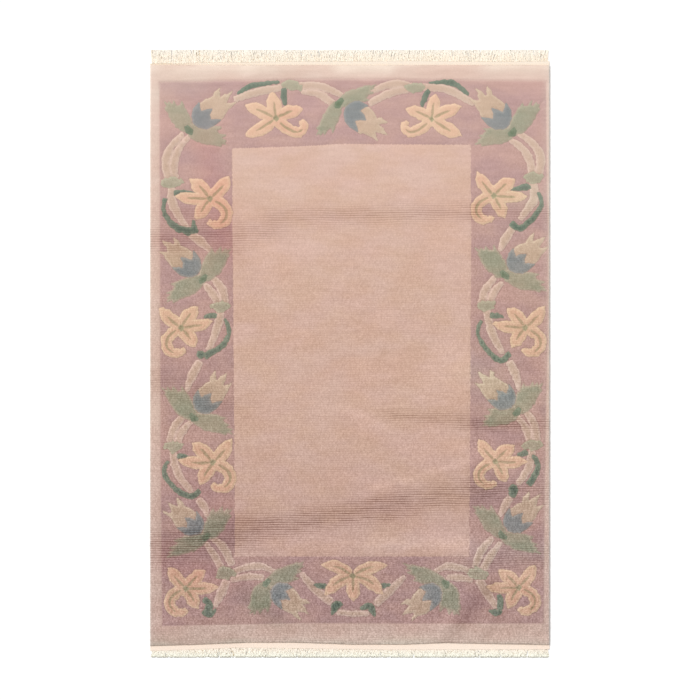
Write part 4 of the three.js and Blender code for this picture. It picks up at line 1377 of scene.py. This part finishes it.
def woven_end(name, pile_line, web_line, way, material):
    """A flat-woven strip, from the rim of the pile to its own last weft."""
    x = np.linspace(-HALF_WIDTH, HALF_WIDTH, 81)
    length = float(np.abs(line_at(web_line, x) - line_at(pile_line, x)).max())
    strip = made_by(
        WEAVE_TREE, name, width=2 * HALF_WIDTH * MM, length=length * MM, thickness=WEB_THICK * MM,
        warp_pitch=WARP_PITCH * MM, weft_pitch=WEFT_PITCH * MM, crimp=CRIMP * MM, material=material,
    )
    for vertex in strip.data.vertices:
        vertex.co += Vector((0, length * MM / 2, WEB_THICK * MM / 2))
    return lay_between(strip, pile_line, web_line, way, length)


def fringe(name, web_line, way, material, lean, curl, shortest):
    """The warp ends of one end of the rug, from the last weft to where they are cut."""
    length = HALF_LENGTH - min(abs(y) for _, y in web_line) * KNOT
    ends = made_by(
        FRINGE_TREE, name, width=(2 * HALF_WIDTH - 3) * MM, length=length * MM, under=STRANDS_UNDER,
        over=STRANDS_OVER, radius=STRAND_RADIUS * MM, lean=lean, curl=curl * MM, shortest=shortest,
        material=material,
    )
    for vertex in ends.data.vertices:
        vertex.co.z *= FLATTENED
        beyond = abs(vertex.co.x) - SQUARED_AT * MM
        if beyond > 0:
            vertex.co.x = math.copysign(SQUARED_AT * MM + beyond * DRAWN_IN, vertex.co.x)
    lay_between(ends, web_line, np.multiply(CUT_END, (1, way)), way, length)
    for vertex in ends.data.vertices:
        vertex.co.y = way * min(way * vertex.co.y, (HALF_LENGTH + LONGEST_STRAND) * MM)
    return ends


def studio():
    """A camera straight above the rug, one soft lamp from beyond its upper left, and a pale floor."""
    scene = bpy.context.scene
    scene.view_settings.view_transform = "Standard"
    camera = linked("camera", bpy.data.cameras.new("camera"))
    camera.data.sensor_width = 36
    camera.data.lens = 36 * (CAMERA_HEIGHT - PILE_HEIGHT * MM) / FRAME_WIDE
    camera.data.clip_end = 100
    camera.location = (*FRAME_MIDDLE, CAMERA_HEIGHT)
    scene.camera = camera
    lamp = linked("soft_lamp", bpy.data.lights.new("soft_lamp", "SUN"))
    lamp.data.energy = 2.2
    lamp.data.angle = math.radians(24)
    lamp.rotation_euler = Vector((-0.45, 0.55, 1)).to_track_quat("Z", "Y").to_euler()
    world = bpy.data.worlds.new("soft_room")
    world.use_nodes = True
    feed(world.node_tree.nodes["Background"], {"Color": (1, 1, 1, 1), "Strength": 0.55})
    scene.world = world
    far, low = 9000, -0.3
    corners = [(-far, -far, low), (far, -far, low), (far, far, low), (-far, far, low)]
    floor = mesh_piece("floor", corners, [(0, 1, 2, 3)])
    paint = bpy.data.materials.new("pale_floor")
    paint.use_nodes = True
    feed(paint.node_tree.nodes["Principled BSDF"], {"Base Color": (0.96, 0.96, 0.96, 1), "Roughness": 0.9})
    floor.data.materials.append(paint)


studio()
GRAIN, EDGE, TONE, PAINTED_LIGHT_FALLOFF = knot_grain(), yarn_edge(), fibre_tone(), painted_light_falloff()
PILE_WOOL = pile_wool()
FLAT_WEAVE = {
    end: cotton("flat_weave_" + end, WEB_HEATHER, WEB_FIBRE, plain=tone) for end, tone in WEB_TONES.items()
}
WARP_COTTON = {
    end: cotton("warp_cotton_" + end, STRAND_HEATHER, STRAND_FIBRE, strands=tones)
    for end, tones in STRAND_TONES.items()
}
PLIES = ply_tree()
WEAVE_TREE, FRINGE_TREE = weave_tree(), fringe_tree()

rug = wool_rug()
rug.data.materials.append(PILE_WOOL)
for face in rug.data.polygons:
    face.use_smooth = True
kilim_top = woven_end("woven_end_top", PILE_END_TOP, WEB_END_TOP, 1, FLAT_WEAVE["top"])
kilim_bottom = woven_end("woven_end_bottom", PILE_END_BOTTOM, WEB_END_BOTTOM, -1, FLAT_WEAVE["bottom"])
fringe_top = fringe(
    "warp_ends_top", WEB_END_TOP, 1, WARP_COTTON["top"], lean=0.5, curl=4, shortest=0.8,
)
fringe_bottom = fringe(
    "warp_ends_bottom", WEB_END_BOTTOM, -1, WARP_COTTON["bottom"], lean=0.95, curl=6, shortest=1.0,
)

# Which node each piece stands for, and its slot.
PIECES = [
    (rug, "pile_carpet", "wool_pile"),
    (kilim_top, "kilim_end_top", "flat_weave"),
    (kilim_bottom, "kilim_end_bottom", "flat_weave"),
    (fringe_top, "fringe_top", "warp_fringe"),
    (fringe_bottom, "fringe_bottom", "warp_fringe"),
]
for piece, cad_node, slot in PIECES:
    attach(piece, "root")
    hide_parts(cad_node)
